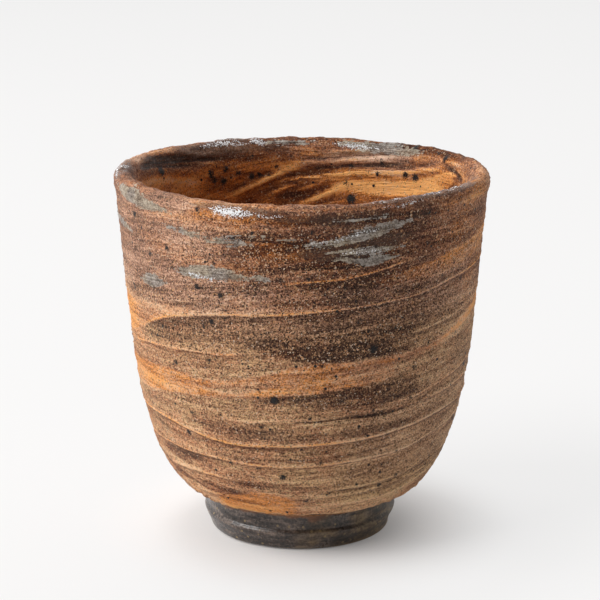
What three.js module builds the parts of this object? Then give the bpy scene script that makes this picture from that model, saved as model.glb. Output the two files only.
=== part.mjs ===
// A footed tea cup of hand-thrown stoneware: a thrown body, luting slip and a foot ring.
// Millimetres, +Z up. The origin is the centre of the foot's resting face, and -Y is the front.

import * as THREE from 'three';

// Overall sizes
const CUP_HEIGHT = 86; // resting face to the crest of the lip
const RIM_RADIUS = 43; // outside of the lip
const WAIST_RADIUS = 40.1; // outside, where the bowl runs into the straight wall
const BOWL_HEIGHT = 41.4; // foot joint to the waist
const WALL_THICKNESS = 5.2;
const FLOOR_THICKNESS = 6.4;

// How the bowl leaves the joint and meets the wall: the reach of the curve's two handles
const BOWL_SPREAD = 10.9; // outwards from the joint
const BOWL_LIFT = 1.4; // upwards over that spread
const BOWL_REACH = 20.3; // down from the waist, along the wall

// Lip
const LIP_BAND = 5.5; // height of the thicker band that ends the wall
const LIP_FLARE = 0.35; // how far the band stands out past the wall's taper
const LIP_ROUND = 3.2; // height of the band's rounded outer edge
const LIP_CREST_INSET = 1.8; // crest to the outside of the lip
const LIP_BEVEL = 6; // depth of the slope inside the lip
const LIP_WAVE = 0.35; // how far the lip dips between its high points
const LIP_HIGH_POINTS = 2;
const OUT_OF_ROUND = 0.25; // how far the lip strays from a true circle

// Spiral marks left by the fingers as the wall was raised
const RIDGE_DEPTH = 0.2; // outside, half of crest to groove
const RIDGE_PITCH = 8.2; // upwards from one ridge to the next
const RIDGE_STARTS = 4; // ridges that wind up the wall side by side
const SWELL_DEPTH = 0.22; // the slower swell that carries the ridges
const SWELL_PITCH = 17;
const SWELL_STARTS = 2;
const FINGER_DEPTH = 0.35; // inside
const FINGER_PITCH = 11;
const FINGER_STARTS = 2;
const MARK_FADE = 6; // height over which the marks die out at either end

// Foot ring
const FOOT_HEIGHT = 9.1;
const FOOT_BASE_RADIUS = 20.8; // outside, at the resting face
const FOOT_TOP_RADIUS = 23.1; // outside, at the joint
const FOOT_WALL = 4.2; // width of the ring at the resting face
const FOOT_SWELL = 1.2; // how far the flare bulges past a straight cone
const FOOT_EDGE = 0.7; // worn edge round the resting face

// Luting slip
const SLIP_THICKNESS = 0.5;
const SLIP_BEAD = 0.25; // how far the slip was squeezed out of the joint

// Fineness of the faceted surface
const SEGMENTS = 60; // columns round the axis
const OUTSIDE_ROW = 1.9; // spacing of the rows up the outside
const LIP_ROW = 1.5;
const INSIDE_ROW = 3.8;
const FOOT_ROW = 2.4;

// Heights and radii that follow
const JOINT_TOP = FOOT_HEIGHT + SLIP_THICKNESS;
const WAIST_HEIGHT = JOINT_TOP + BOWL_HEIGHT;
const BAND_HEIGHT = CUP_HEIGHT - LIP_BAND;
const BEVEL_HEIGHT = CUP_HEIGHT - LIP_BEVEL;
const FOOT_BORE = FOOT_BASE_RADIUS - FOOT_WALL;
const WALL_TAPER = (RIM_RADIUS - LIP_FLARE - WAIST_RADIUS) / (BAND_HEIGHT - WAIST_HEIGHT);

const CLAY = new THREE.MeshStandardMaterial({ color: 0x7a5133, roughness: 0.85, metalness: 0 });
const SLIP = new THREE.MeshStandardMaterial({ color: 0x9a6433, roughness: 0.9, metalness: 0 });
const DARK_WASH = new THREE.MeshStandardMaterial({ color: 0x35302b, roughness: 0.45, metalness: 0 });

const OUTSIDE_MARKS = [
  { depth: RIDGE_DEPTH, pitch: RIDGE_PITCH, starts: RIDGE_STARTS },
  { depth: SWELL_DEPTH, pitch: SWELL_PITCH, starts: SWELL_STARTS },
];
const INSIDE_MARKS = [{ depth: FINGER_DEPTH, pitch: FINGER_PITCH, starts: FINGER_STARTS }];

const { smoothstep } = THREE.MathUtils;

// Rows of a profile along a path of (radius, height), evenly spaced, with the marks worked into them.
function rowsAlong(path, spacing, marks = []) {
  const count = Math.ceil(path.getLength() / spacing);
  return path.getSpacedPoints(count).map((point) => ({ radius: point.x, height: point.y, marks }));
}

// Where a row's point lies at an angle from the front, once the hand has moved the clay.
function worked(row, angle) {
  const upWall = smoothstep(row.height, WAIST_HEIGHT, CUP_HEIGHT);
  const dip = 0.5 - 0.5 * Math.cos(LIP_HIGH_POINTS * angle);
  const fadeIn = smoothstep(row.height, JOINT_TOP, JOINT_TOP + MARK_FADE);
  const fadeOut = 1 - smoothstep(row.height, BAND_HEIGHT - MARK_FADE, BAND_HEIGHT);
  let radius = row.radius + OUT_OF_ROUND * upWall * Math.cos(2 * angle);
  for (const { depth, pitch, starts } of row.marks ?? []) {
    const phase = (2 * Math.PI * row.height) / pitch - starts * angle;
    radius += depth * fadeIn * fadeOut * Math.cos(phase);
  }
  return { radius, height: row.height - LIP_WAVE * upWall * dip };
}

// Spins the rows round +Z, as on the wheel. Angle 0 is the front and grows towards +X.
function thrown(name, rows, material) {
  const profile = rows.map((row) => new THREE.Vector2(row.radius, row.height));
  const geometry = new THREE.LatheGeometry(profile, SEGMENTS);
  const position = geometry.getAttribute('position');
  for (let i = 0; i < position.count; i++) {
    const column = Math.floor(i / rows.length) % SEGMENTS;
    const angle = (2 * Math.PI * column) / SEGMENTS;
    const { radius, height } = worked(rows[i % rows.length], angle);
    position.setXYZ(i, radius * Math.sin(angle), -radius * Math.cos(angle), height);
  }
  geometry.computeVertexNormals();
  const mesh = new THREE.Mesh(geometry, material);
  mesh.name = name;
  return mesh;
}

// The bowl's curve, from the joint or floor's edge up to the waist.
function bowl(startRadius, startHeight, waistRadius) {
  return new THREE.Path()
    .moveTo(startRadius, startHeight)
    .bezierCurveTo(
      startRadius + BOWL_SPREAD,
      startHeight + BOWL_LIFT,
      waistRadius - BOWL_REACH * WALL_TAPER,
      WAIST_HEIGHT - BOWL_REACH,
      waistRadius,
      WAIST_HEIGHT,
    );
}

function cupBody() {
  const floorTop = JOINT_TOP + FLOOR_THICKNESS;
  const floorEdge = FOOT_TOP_RADIUS - WALL_THICKNESS;
  const crest = RIM_RADIUS - LIP_CREST_INSET;
  const lipInside = RIM_RADIUS - LIP_FLARE - WALL_THICKNESS + WALL_TAPER * (BEVEL_HEIGHT - BAND_HEIGHT);

  const outside = bowl(FOOT_TOP_RADIUS, JOINT_TOP, WAIST_RADIUS)
    .lineTo(RIM_RADIUS - LIP_FLARE, BAND_HEIGHT)
    .lineTo(RIM_RADIUS, CUP_HEIGHT - LIP_ROUND);
  const lipEdge = new THREE.Path()
    .moveTo(RIM_RADIUS, CUP_HEIGHT - LIP_ROUND)
    .quadraticCurveTo(RIM_RADIUS, CUP_HEIGHT, crest, CUP_HEIGHT);
  const lipSlope = new THREE.Path()
    .moveTo(crest, CUP_HEIGHT)
    .quadraticCurveTo(lipInside + LIP_CREST_INSET / 2, CUP_HEIGHT, lipInside, BEVEL_HEIGHT);
  const inside = bowl(floorEdge, floorTop, WAIST_RADIUS - WALL_THICKNESS).lineTo(lipInside, BEVEL_HEIGHT);

  return thrown('cup_body', [
    { radius: 0, height: JOINT_TOP },
    { radius: FOOT_BORE, height: JOINT_TOP },
    ...rowsAlong(outside, OUTSIDE_ROW, OUTSIDE_MARKS),
    ...rowsAlong(lipEdge, LIP_ROW).slice(1),
    ...rowsAlong(lipSlope, LIP_ROW).slice(1),
    ...rowsAlong(inside, INSIDE_ROW, INSIDE_MARKS).reverse().slice(1),
    { radius: 0, height: floorTop },
  ], CLAY);
}

function lutingSlip() {
  const bead = new THREE.Path()
    .moveTo(FOOT_TOP_RADIUS, FOOT_HEIGHT)
    .quadraticCurveTo(FOOT_TOP_RADIUS + 2 * SLIP_BEAD, FOOT_HEIGHT + SLIP_THICKNESS / 2, FOOT_TOP_RADIUS, JOINT_TOP);
  return thrown('luting_slip', [
    { radius: FOOT_BORE, height: FOOT_HEIGHT },
    ...rowsAlong(bead, SLIP_THICKNESS / 2),
    { radius: FOOT_BORE, height: JOINT_TOP },
    { radius: FOOT_BORE, height: FOOT_HEIGHT },
  ], SLIP);
}

function footRing() {
  const flareMiddle = (FOOT_BASE_RADIUS + FOOT_TOP_RADIUS) / 2 + FOOT_SWELL;
  const outside = new THREE.Path()
    .moveTo(FOOT_BASE_RADIUS, FOOT_EDGE)
    .quadraticCurveTo(flareMiddle, FOOT_HEIGHT / 2, FOOT_TOP_RADIUS, FOOT_HEIGHT);
  return thrown('foot_ring', [
    { radius: FOOT_BORE + FOOT_EDGE, height: 0 },
    { radius: FOOT_BASE_RADIUS - FOOT_EDGE, height: 0 },
    ...rowsAlong(outside, FOOT_ROW),
    { radius: FOOT_BORE, height: FOOT_HEIGHT },
    { radius: FOOT_BORE, height: FOOT_EDGE },
    { radius: FOOT_BORE + FOOT_EDGE, height: 0 },
  ], DARK_WASH);
}

const cup = new THREE.Group();
cup.name = 'footed_cup';
cup.add(footRing(), lutingSlip(), cupBody());

export default cup;
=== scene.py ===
# %% [markdown]
# # A wood-fired tea cup on a foot ring
# The cup is coarse stoneware, thrown on a wheel and fired with wood. Its wall is streaked like old
# timber: thin pale ridges, dark bands between them, orange where the flame passed, and grey glass
# where wood ash landed and melted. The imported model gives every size, and this file adds the looks.

# %% Load the frame
import math
from collections import namedtuple
from types import SimpleNamespace

import bpy
import numpy as np
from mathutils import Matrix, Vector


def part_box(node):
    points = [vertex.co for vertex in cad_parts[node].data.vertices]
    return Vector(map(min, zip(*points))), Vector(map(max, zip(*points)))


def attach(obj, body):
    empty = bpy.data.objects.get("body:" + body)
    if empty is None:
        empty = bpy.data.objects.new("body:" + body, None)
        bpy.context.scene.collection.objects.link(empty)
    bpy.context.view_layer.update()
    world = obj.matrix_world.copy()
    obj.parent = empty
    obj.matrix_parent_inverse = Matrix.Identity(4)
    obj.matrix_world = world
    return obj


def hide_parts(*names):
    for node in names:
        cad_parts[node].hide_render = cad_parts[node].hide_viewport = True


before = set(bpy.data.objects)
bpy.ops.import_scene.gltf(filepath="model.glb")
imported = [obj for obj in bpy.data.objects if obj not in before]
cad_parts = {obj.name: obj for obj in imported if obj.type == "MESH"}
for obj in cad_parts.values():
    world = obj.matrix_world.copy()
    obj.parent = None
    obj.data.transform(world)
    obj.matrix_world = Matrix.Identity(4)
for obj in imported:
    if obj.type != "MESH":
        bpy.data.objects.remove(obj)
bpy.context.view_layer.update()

# %% [markdown]
# ## The camera
# A long lens from a little above, as for a product picture. Its place was worked out from the ellipses
# of the mouth and the foot: the flatter the ellipse, the closer the lens is to that ellipse's own height.

# %% The camera
FRAME_PIXELS = 600
FOCAL_PIXELS = 2059
SENSOR_WIDTH = 36.0
CAMERA_PLACE = (-0.00047, -0.467, 0.176)
LOOKS_DOWN = math.radians(14.61)

camera_data = bpy.data.cameras.new("camera")
camera_data.sensor_width = SENSOR_WIDTH
camera_data.lens = FOCAL_PIXELS / FRAME_PIXELS * SENSOR_WIDTH
camera = bpy.data.objects.new("camera", camera_data)
camera.location = CAMERA_PLACE
camera.rotation_euler = (math.pi / 2 - LOOKS_DOWN, 0, 0)
bpy.context.scene.collection.objects.link(camera)
bpy.context.scene.camera = camera
bpy.context.scene.view_settings.view_transform = "Standard"
print(f"camera lens {camera_data.lens:.1f} mm")

# %% [markdown]
# ## Short words for shader nodes
# A material is a small network of nodes. Written out in full, each node takes five lines, so these
# helpers add one node each and hand back the socket that the next step needs.

# %% Helpers for shader nodes


def new_material(name):
    """An empty node tree with its Principled shader already joined to the output."""
    material = bpy.data.materials.new(name)
    material.use_nodes = True
    tree = material.node_tree
    tree.nodes.clear()
    output = tree.nodes.new("ShaderNodeOutputMaterial")
    shader = tree.nodes.new("ShaderNodeBsdfPrincipled")
    tree.links.new(shader.outputs["BSDF"], output.inputs["Surface"])
    return material, tree, shader


def plug(tree, target, inputs):
    """Sets a node's inputs to plain values, or joins other nodes' sockets to them."""
    for name, value in inputs.items():
        if isinstance(value, bpy.types.NodeSocket):
            tree.links.new(value, target.inputs[name])
        else:
            target.inputs[name].default_value = value


def node(tree, kind, inputs, **settings):
    made = tree.nodes.new(kind)
    for name, value in settings.items():
        setattr(made, name, value)
    plug(tree, made, inputs)
    return made


def maths(tree, operation, *values):
    return node(tree, "ShaderNodeMath", dict(enumerate(values)), operation=operation).outputs[0]


def summed(tree, start, *parts):
    """The start, plus each part's value times its share."""
    total = start
    for value, share in parts:
        total = maths(tree, "MULTIPLY_ADD", value, share, total)
    return total


def eased(tree, value, low, high, to_low=0.0, to_high=1.0):
    """A smooth step: to_low while the value is under low, to_high once it is over high."""
    inputs = {"Value": value, "From Min": low, "From Max": high, "To Min": to_low, "To Max": to_high}
    return node(tree, "ShaderNodeMapRange", inputs, interpolation_type="SMOOTHSTEP").outputs[0]


def clamped(tree, value):
    return node(tree, "ShaderNodeClamp", {"Value": value}).outputs[0]


def noise(tree, vector, scale, detail=2.0, roughness=0.5):
    inputs = {"Vector": vector, "Scale": scale, "Detail": detail, "Roughness": roughness}
    return node(tree, "ShaderNodeTexNoise", inputs).outputs["Fac"]


def painted(tree, amount, under, over):
    """The colour over laid on the colour under, as thickly as amount says."""
    mix = node(tree, "ShaderNodeMix", {0: amount, 6: under, 7: over}, data_type="RGBA")
    return mix.outputs[2]


def bumped(tree, height, strength, distance):
    """The way the surface faces, once small bumps have tilted it."""
    inputs = {"Height": height, "Strength": strength, "Distance": distance}
    return node(tree, "ShaderNodeBump", inputs).outputs[0]


def from_object(tree):
    """The place on the object, in metres."""
    return node(tree, "ShaderNodeTexCoord", {}).outputs["Object"]


def from_vertices(tree, name):
    """A value that is kept on the mesh's vertices."""
    return node(tree, "ShaderNodeAttribute", {}, attribute_name=name).outputs["Fac"]


def colour_ramp(tree, value, stops):
    ramp = node(tree, "ShaderNodeValToRGB", {"Fac": value})
    elements = ramp.color_ramp.elements
    while len(elements) < len(stops):
        elements.new(1.0)
    for element, (place, colour) in zip(elements, stops):
        element.position = place
        element.color = (*colour, 1.0)
    return ramp.outputs["Color"]


print("helpers for shader nodes are ready")

# %% [markdown]
# ## The stage
# One wide pale sheet is both floor and backdrop, because the camera looks down far enough to see nothing
# else. A large soft window lights the cup from the upper left. The room is white behind the cup and dim
# behind the camera, which is why the cup's front is darker than both of its edges, and painted light on
# the cup's sides adds to that. The camera sees the sheet with white mixed in, more of it away from the
# cup, as in a picture that is exposed for a dark object on white paper. Near the cup the sheet keeps the
# shadow.

# %% The stage and its light
FLOOR_REACH = 6.0
FLOOR_COLOUR = (0.80, 0.772, 0.755, 1.0)
FLOOR_ROUGHNESS = 0.9
FLOOR_SHINE = 0.1
PAPER_WHITE = (0.92, 0.92, 0.92, 1.0)
SHADE_REACH = (0.012, 0.055)
PAPER_SHARE = (0.06, 0.8)
ROOM_WHITE = (1.0, 1.0, 1.0, 1.0)
ROOM_STRENGTH = (0.1, 1.0)
ROOM_TURNS = (-0.4, 0.6)
LAMPS_AIM_AT = (0.0, 0.0, 0.05)
WINDOW_PLACE = (-1.3, -0.5, 1.15)
WINDOW_SIZE = 1.2
WINDOW_WATTS = 36.0
SKYLIGHT_PLACE = (-0.25, 0.3, 1.25)
SKYLIGHT_SIZE = 0.35
SKYLIGHT_WATTS = 4.0


def paper_sheet(name):
    material, tree, shader = new_material(name)
    matt = {"Base Color": FLOOR_COLOUR, "Roughness": FLOOR_ROUGHNESS, "Specular IOR Level": FLOOR_SHINE}
    plug(tree, shader, matt)
    ray = node(tree, "ShaderNodeLightPath", {})
    seen = maths(tree, "MAXIMUM", ray.outputs["Is Camera Ray"], ray.outputs["Is Glossy Ray"])
    seen = maths(tree, "MAXIMUM", seen, ray.outputs["Is Transmission Ray"])
    from_cup = node(tree, "ShaderNodeVectorMath", {0: from_object(tree)}, operation="LENGTH")
    far = eased(tree, from_cup.outputs["Value"], *SHADE_REACH, *PAPER_SHARE)
    share = maths(tree, "MULTIPLY", seen, far)
    white = node(tree, "ShaderNodeEmission", {"Color": PAPER_WHITE, "Strength": 1.0})
    both = {0: share, 1: shader.outputs["BSDF"], 2: white.outputs[0]}
    mix = node(tree, "ShaderNodeMixShader", both)
    output = next(n for n in tree.nodes if n.type == "OUTPUT_MATERIAL")
    tree.links.new(mix.outputs[0], output.inputs["Surface"])
    return material


def make_floor():
    mesh = bpy.data.meshes.new("floor")
    reach = FLOOR_REACH
    corners = [(-reach, -reach, 0), (reach, -reach, 0), (reach, reach, 0), (-reach, reach, 0)]
    mesh.from_pydata(corners, [], [(0, 1, 2, 3)])
    mesh.materials.append(paper_sheet("paper_sheet"))
    floor = bpy.data.objects.new("floor", mesh)
    bpy.context.scene.collection.objects.link(floor)


def make_room():
    world = bpy.data.worlds.new("white_room")
    world.use_nodes = True
    tree = world.node_tree
    towards = node(tree, "ShaderNodeTexCoord", {}).outputs["Generated"]
    depth = node(tree, "ShaderNodeSeparateXYZ", {0: towards}).outputs["Y"]
    strength = eased(tree, depth, *ROOM_TURNS, *ROOM_STRENGTH)
    plug(tree, tree.nodes["Background"], {"Color": ROOM_WHITE, "Strength": strength})
    bpy.context.scene.world = world


def make_lamp(name, place, size, watts):
    """A square soft lamp that looks at the cup."""
    data = bpy.data.lights.new(name, "AREA")
    data.shape = "SQUARE"
    data.size = size
    data.energy = watts
    lamp = bpy.data.objects.new(name, data)
    lamp.location = place
    aim = np.array(LAMPS_AIM_AT) - np.array(place)
    flat = math.hypot(aim[0], aim[1])
    lamp.rotation_euler = (math.atan2(flat, -aim[2]), 0, math.atan2(-aim[0], aim[1]))
    bpy.context.scene.collection.objects.link(lamp)


make_floor()
make_room()
make_lamp("window", WINDOW_PLACE, WINDOW_SIZE, WINDOW_WATTS)
make_lamp("skylight", SKYLIGHT_PLACE, SKYLIGHT_SIZE, SKYLIGHT_WATTS)
print("stage: floor, white room, window and skylight")

# %% [markdown]
# ## The cup's outline
# A pot on the wheel is one outline spun round its axis. The outline here is the solid's own, in
# millimetres: the bowl is one Bezier curve, the wall a straight taper, the lip two short curves.
# Its rows lie close together where the camera sees them and further apart deep inside and underneath.

# %% The outline, row by row
MM = 0.001
TURN = 2 * math.pi
body_low, body_high = (np.array(corner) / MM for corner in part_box("cup_body"))
foot_low, foot_high = (np.array(corner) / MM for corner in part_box("foot_ring"))

CUP_HEIGHT = body_high[2]
RIM_RADIUS = (body_high - body_low)[:2].mean() / 2
JOINT_HEIGHT = body_low[2]
FOOT_HEIGHT = foot_high[2]
FOOT_TOP_RADIUS = (foot_high - foot_low)[0] / 2
FOOT_BASE_RADIUS = 20.8
FOOT_BORE = 16.6

WAIST = np.array((40.1, 51.0))
BAND = np.array((RIM_RADIUS - 0.35, CUP_HEIGHT - 5.5))
TAPER = (BAND - WAIST) / (BAND - WAIST)[1]
WALL_THICKNESS = 5.2
FLOOR_TOP = JOINT_HEIGHT + 6.4
BOWL_SPREAD = np.array((10.9, 1.4))
BOWL_REACH = 20.3
CREST_RADIUS = RIM_RADIUS - 1.8
LIP_ROUND = 2.6
BEVEL_DROP = 0.5
BEVEL_HANDLE = 0.9
SEEN_ABOVE_WAIST = 16.0
UNDER_POLE = 3.0
FLOOR_POLE = 2.5

OUTSIDE_ROW = 0.55
LIP_ROW = 0.45
INSIDE_ROW = 0.8
DEEP_ROW = 1.5
FLOOR_ROW = 2.2
UNDER_ROW = 4.0


def bezier(*points, count=120):
    t = np.linspace(0, 1, count)[:, None]
    last = len(points) - 1
    weights = [math.comb(last, i) * t**i * (1 - t) ** (last - i) for i in range(last + 1)]
    return sum(weight * np.asarray(point, float) for weight, point in zip(weights, points))


def even_rows(path, spacing):
    """The path again, with points evenly spaced along it."""
    length = np.r_[0, np.cumsum(np.hypot(*np.diff(path, axis=0).T))]
    places = np.linspace(0, length[-1], math.ceil(length[-1] / spacing) + 1)
    return np.column_stack([np.interp(places, length, path[:, k]) for k in (0, 1)])


def bowl(start, waist):
    return bezier(start, start + BOWL_SPREAD, waist - BOWL_REACH * TAPER, waist)


def cup_outline():
    """Rows of (radius, height) from under the floor, over the lip, to the middle of the inside."""
    start = (UNDER_POLE, JOINT_HEIGHT)
    joint = np.array((FOOT_TOP_RADIUS, JOINT_HEIGHT))
    inner_waist = WAIST - (WALL_THICKNESS, 0)
    bevel = BAND - (WALL_THICKNESS, 0) - BEVEL_DROP * TAPER
    lip_start = (RIM_RADIUS, CUP_HEIGHT - LIP_ROUND)
    crest = (CREST_RADIUS, CUP_HEIGHT)
    floor_edge = np.array((FOOT_TOP_RADIUS - WALL_THICKNESS, FLOOR_TOP))
    deep = inner_waist + SEEN_ABOVE_WAIST * TAPER
    sections = [
        (np.array([start, joint]), UNDER_ROW),
        (np.vstack([bowl(joint, WAIST), BAND, lip_start]), OUTSIDE_ROW),
        (bezier(lip_start, (RIM_RADIUS, CUP_HEIGHT), crest), LIP_ROW),
        (bezier(crest, (bevel[0] + BEVEL_HANDLE, CUP_HEIGHT), bevel), LIP_ROW),
        (np.array([bevel, deep]), INSIDE_ROW),
        (np.vstack([deep, bowl(floor_edge, inner_waist)[::-1]]), DEEP_ROW),
        (np.array([floor_edge, (FLOOR_POLE, FLOOR_TOP)]), FLOOR_ROW),
    ]
    rows = [even_rows(path, spacing)[1:] for path, spacing in sections]
    return np.vstack([start, *rows]), [len(r) for r in rows]


outline, section_rows = cup_outline()
print(f"outline of {len(outline)} rows, sections {section_rows}")

# %% [markdown]
# ## Spinning the outline
# Spinning gives a grid of points, one column for each step round the cup. The fields below (relief,
# tone, glass and so on) are plain arrays over that grid, so the same arrays can move the points and
# be stored on them for the shader. A map of the skin, angle by length, goes along for later baking.

# %% Spin a grid into a mesh
COLUMNS = 396
angles = np.arange(COLUMNS) / COLUMNS * TURN
degrees = np.degrees(angles)


def outward(rows):
    """Unit normals of an outline in its own plane, pointing out of the clay."""
    along = np.gradient(rows, axis=0)
    normal = np.column_stack([along[:, 1], -along[:, 0]])
    return normal / np.linalg.norm(normal, axis=1, keepdims=True)


def spun_points(rows, relief, lift):
    """The grid's points in metres. Angle 0 is the front and grows to the right."""
    normal = outward(rows)
    radius = rows[:, :1] + normal[:, :1] * relief
    height = rows[:, 1:] + normal[:, 1:] * relief + lift
    return np.stack([radius * np.sin(angles), -radius * np.cos(angles), height], axis=-1) * MM


def spun_faces(count, closed):
    """Quads between neighbouring rows and columns, and the last row back to the first if closed."""
    row = np.arange(count if closed else count - 1)[:, None] * COLUMNS
    above = (row + COLUMNS) % (count * COLUMNS)
    column = np.arange(COLUMNS)[None, :]
    right = (column + 1) % COLUMNS
    corners = [row + column, row + right, above + right, above + column]
    return np.stack(corners, axis=-1).reshape(-1, 4).tolist()


def skin_map(mesh, length):
    """The map that a bake uses: across is the angle, up is the length along the outline."""
    layer = mesh.uv_layers.new(name="OFBake")
    vertex = np.zeros(len(mesh.loops), int)
    mesh.loops.foreach_get("vertex_index", vertex)
    sides = np.zeros(len(mesh.polygons), int)
    mesh.polygons.foreach_get("loop_total", sides)
    rows = len(length)
    at_pole = vertex >= rows * COLUMNS
    across = (vertex % COLUMNS) / COLUMNS
    first_corner = np.repeat(np.r_[0, np.cumsum(sides)[:-1]], sides)
    lead = across[first_corner]
    across = np.where(across < lead - 0.5, across + 1.0, across)
    across = np.where(at_pole, lead + 0.5 / COLUMNS, across)
    ends = np.where(vertex == rows * COLUMNS, 0.0, 1.0)
    up = np.where(at_pole, ends, length[np.minimum(vertex // COLUMNS, rows - 1)])
    layer.data.foreach_set("uv", np.column_stack([across, up]).astype(np.float32).ravel())


def spun_mesh(name, rows, relief, lift, fields, poles):
    """A closed mesh from an outline. With poles the two ends are drawn in to the axis."""
    points = spun_points(rows, relief, lift)
    vertices = points.reshape(-1, 3).tolist()
    faces = spun_faces(len(rows), closed=not poles)
    if poles:
        column = np.arange(COLUMNS)
        right = (column + 1) % COLUMNS
        last = (len(rows) - 1) * COLUMNS
        low = len(vertices)
        vertices.append([0, 0, float(points[0, :, 2].mean())])
        vertices.append([0, 0, float(points[-1, :, 2].mean())])
        faces += np.column_stack([right, column, np.full(COLUMNS, low)]).tolist()
        faces += np.column_stack([last + column, last + right, np.full(COLUMNS, low + 1)]).tolist()
    mesh = bpy.data.meshes.new(name)
    mesh.from_pydata(vertices, [], faces)
    mesh.polygons.foreach_set("use_smooth", np.ones(len(faces), bool))
    for field, values in fields.items():
        stored = np.zeros(len(vertices), np.float32)
        stored[: values.size] = values.ravel()
        if poles:
            stored[-2:] = values[0].mean(), values[-1].mean()
        mesh.attributes.new(field, "FLOAT", "POINT").data.foreach_set("value", stored)
    steps = np.hypot(*np.diff(rows, axis=0).T)
    length = np.r_[0, np.cumsum(steps)] / (steps.sum() + (0 if poles else steps.mean()))
    skin_map(mesh, length)
    piece = bpy.data.objects.new(name, mesh)
    bpy.context.scene.collection.objects.link(piece)
    return piece


print(f"a grid of {len(outline)} rows and {COLUMNS} columns")

# %% [markdown]
# ## The unrolled height
# One number says where a row is on the whole skin. It counts up the outside to the crest of the lip,
# and then goes on counting as the inside goes down. Marks can then run over the lip without a break.

# %% The unrolled height of every point
INSIDE = 2 * CUP_HEIGHT
climbing = np.arange(len(outline)) <= np.argmax(outline[:, 1])
skin = np.where(climbing, outline[:, 1], INSIDE - outline[:, 1])
floor_rows = section_rows[-1]
skin[-floor_rows:] += outline[-floor_rows - 1, 0] - outline[-floor_rows:, 0]
under_rows = section_rows[0] + 1
skin[:under_rows] = JOINT_HEIGHT - (FOOT_TOP_RADIUS - outline[:under_rows, 0])
height = np.repeat(skin[:, None], COLUMNS, axis=1)
radius_at = np.repeat(outline[:, :1], COLUMNS, axis=1)
print(f"the skin unrolls from {skin.min():.1f} to {skin.max():.1f} mm")

# %% [markdown]
# ## The hand's own noise
# Nothing thrown by hand repeats. This noise is a table of random numbers wrapped round the cup and
# eased from cell to cell. It is seeded, so the cup comes out the same each time, and it has no seam,
# because the last cell round the cup is next to the first.

# %% Smooth noise round the cup
Marks = namedtuple("Marks", "depth cells step seed")
LOWEST_LEVEL = -40.0


def ease(value, low, high):
    t = np.clip((value - low) / (high - low), 0, 1)
    return t * t * (3 - 2 * t)


def hump(value, middle, width):
    """One at the middle, and falling off to nothing on both sides."""
    return np.exp(-(((value - middle) / width) ** 2))


def drift(level, cells, step, seed):
    """Smooth random values from -1 to 1: so many cells round the cup, one every step of level."""
    count = int((level.max() - LOWEST_LEVEL) / step) + 4
    table = np.random.default_rng(seed).uniform(-1, 1, (count, cells))
    across = np.broadcast_to(angles / TURN * cells, level.shape)
    up = np.maximum(level - LOWEST_LEVEL, 0) / step
    column, row = np.floor(across).astype(int), np.floor(up).astype(int)
    right, above = ease(across - column, 0, 1), ease(up - row, 0, 1)
    next_column = (column + 1) % cells
    column = column % cells
    low = table[row, column] * (1 - right) + table[row, next_column] * right
    high = table[row + 1, column] * (1 - right) + table[row + 1, next_column] * right
    return low * (1 - above) + high * above


def marked(level, marks):
    """The noise at the depth that the marks have."""
    return marks.depth * drift(level, marks.cells, marks.step, marks.seed)


def drift_around(grid, cells, seed, step=50):
    """The same noise, but only changing round the cup and not up it."""
    return drift(np.zeros_like(grid), cells, step, seed)


sample = drift(height, cells=5, step=13.0, seed=1)
print(f"noise from {sample.min():.2f} to {sample.max():.2f}")

# %% [markdown]
# ## The way the streaks flow
# The potter's fingers climbed as the wheel turned, so the streaks rise to the right on the upper wall
# and sag in the middle lower down. Level is a height that has been bent to follow them: along a streak
# it stays the same. Noise that is long across and short in level then looks like wood grain, and the
# same noise, as ragged, tears the edges of the marks that follow.

# %% The streaks' flow
RISE_HEIGHTS = (17, 31, 62, 75, 84, 90, 98, 110, 150)
RISE = (1.5, 2.0, 4.7, 5.5, 1.0, -2.0, -9.0, -6.0, 0.0)
SAG_HEIGHTS = (10, 17, 31, 45, 60)
SAG = (5.0, 6.0, 4.4, 1.0, 0.0)
FINE_TEARS = Marks(0.5, 64, 2.4, 3)
WIDE_TEARS = Marks(0.5, 23, 6.0, 4)

rise = np.interp(height, RISE_HEIGHTS, RISE) * np.sin(angles)
sag = np.interp(height, SAG_HEIGHTS, SAG) * np.sin(angles) ** 2
level = height - rise - sag
ragged = marked(level, FINE_TEARS) + marked(level, WIDE_TEARS)
print(f"streaks bend by {np.ptp(level - height):.1f} mm in all")

# %% [markdown]
# ## Ridges, grooves and clouds of colour
# The wall's streaks are all strokes: lines across the skin, given by a few points of (angle, height)
# and eased out at both ends. Around a stroke the clay is lighter or darker (tone) and more or less
# orange (warmth). A ridge also stands up, a groove is cut in, and a cloud only has colour. They could be
# painted by hand, but as short lists they stay sharp at any size and can be moved one by one.

# %% What a stroke is
Stroke = namedtuple("Stroke", "points half soft tone warmth crest")
STROKE_SOFT = 0.7


def ridge(points, half, tone, warmth, crest):
    return Stroke(points, half, STROKE_SOFT, tone, warmth, crest)


def groove(points, half, soft, tone, warmth, depth):
    return Stroke(points, half, soft, tone, warmth, -depth)


def cloud(points, half, soft, tone=0.0, warmth=0.0):
    return Stroke(points, half, soft, tone, warmth, 0.0)


def within(*points):
    """Points inside the cup, where the unrolled height counts on as the wall goes down."""
    return [(angle, INSIDE - z) for angle, z in points][::-1]


print("a stroke has", ", ".join(Stroke._fields))

# %% [markdown]
# The pale ridges are what catches the eye first. Each is a thin lip of clay that a fingertip pushed up,
# and the sand on it fired paler than the rest. They follow the real cup's ridges one by one.

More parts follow.
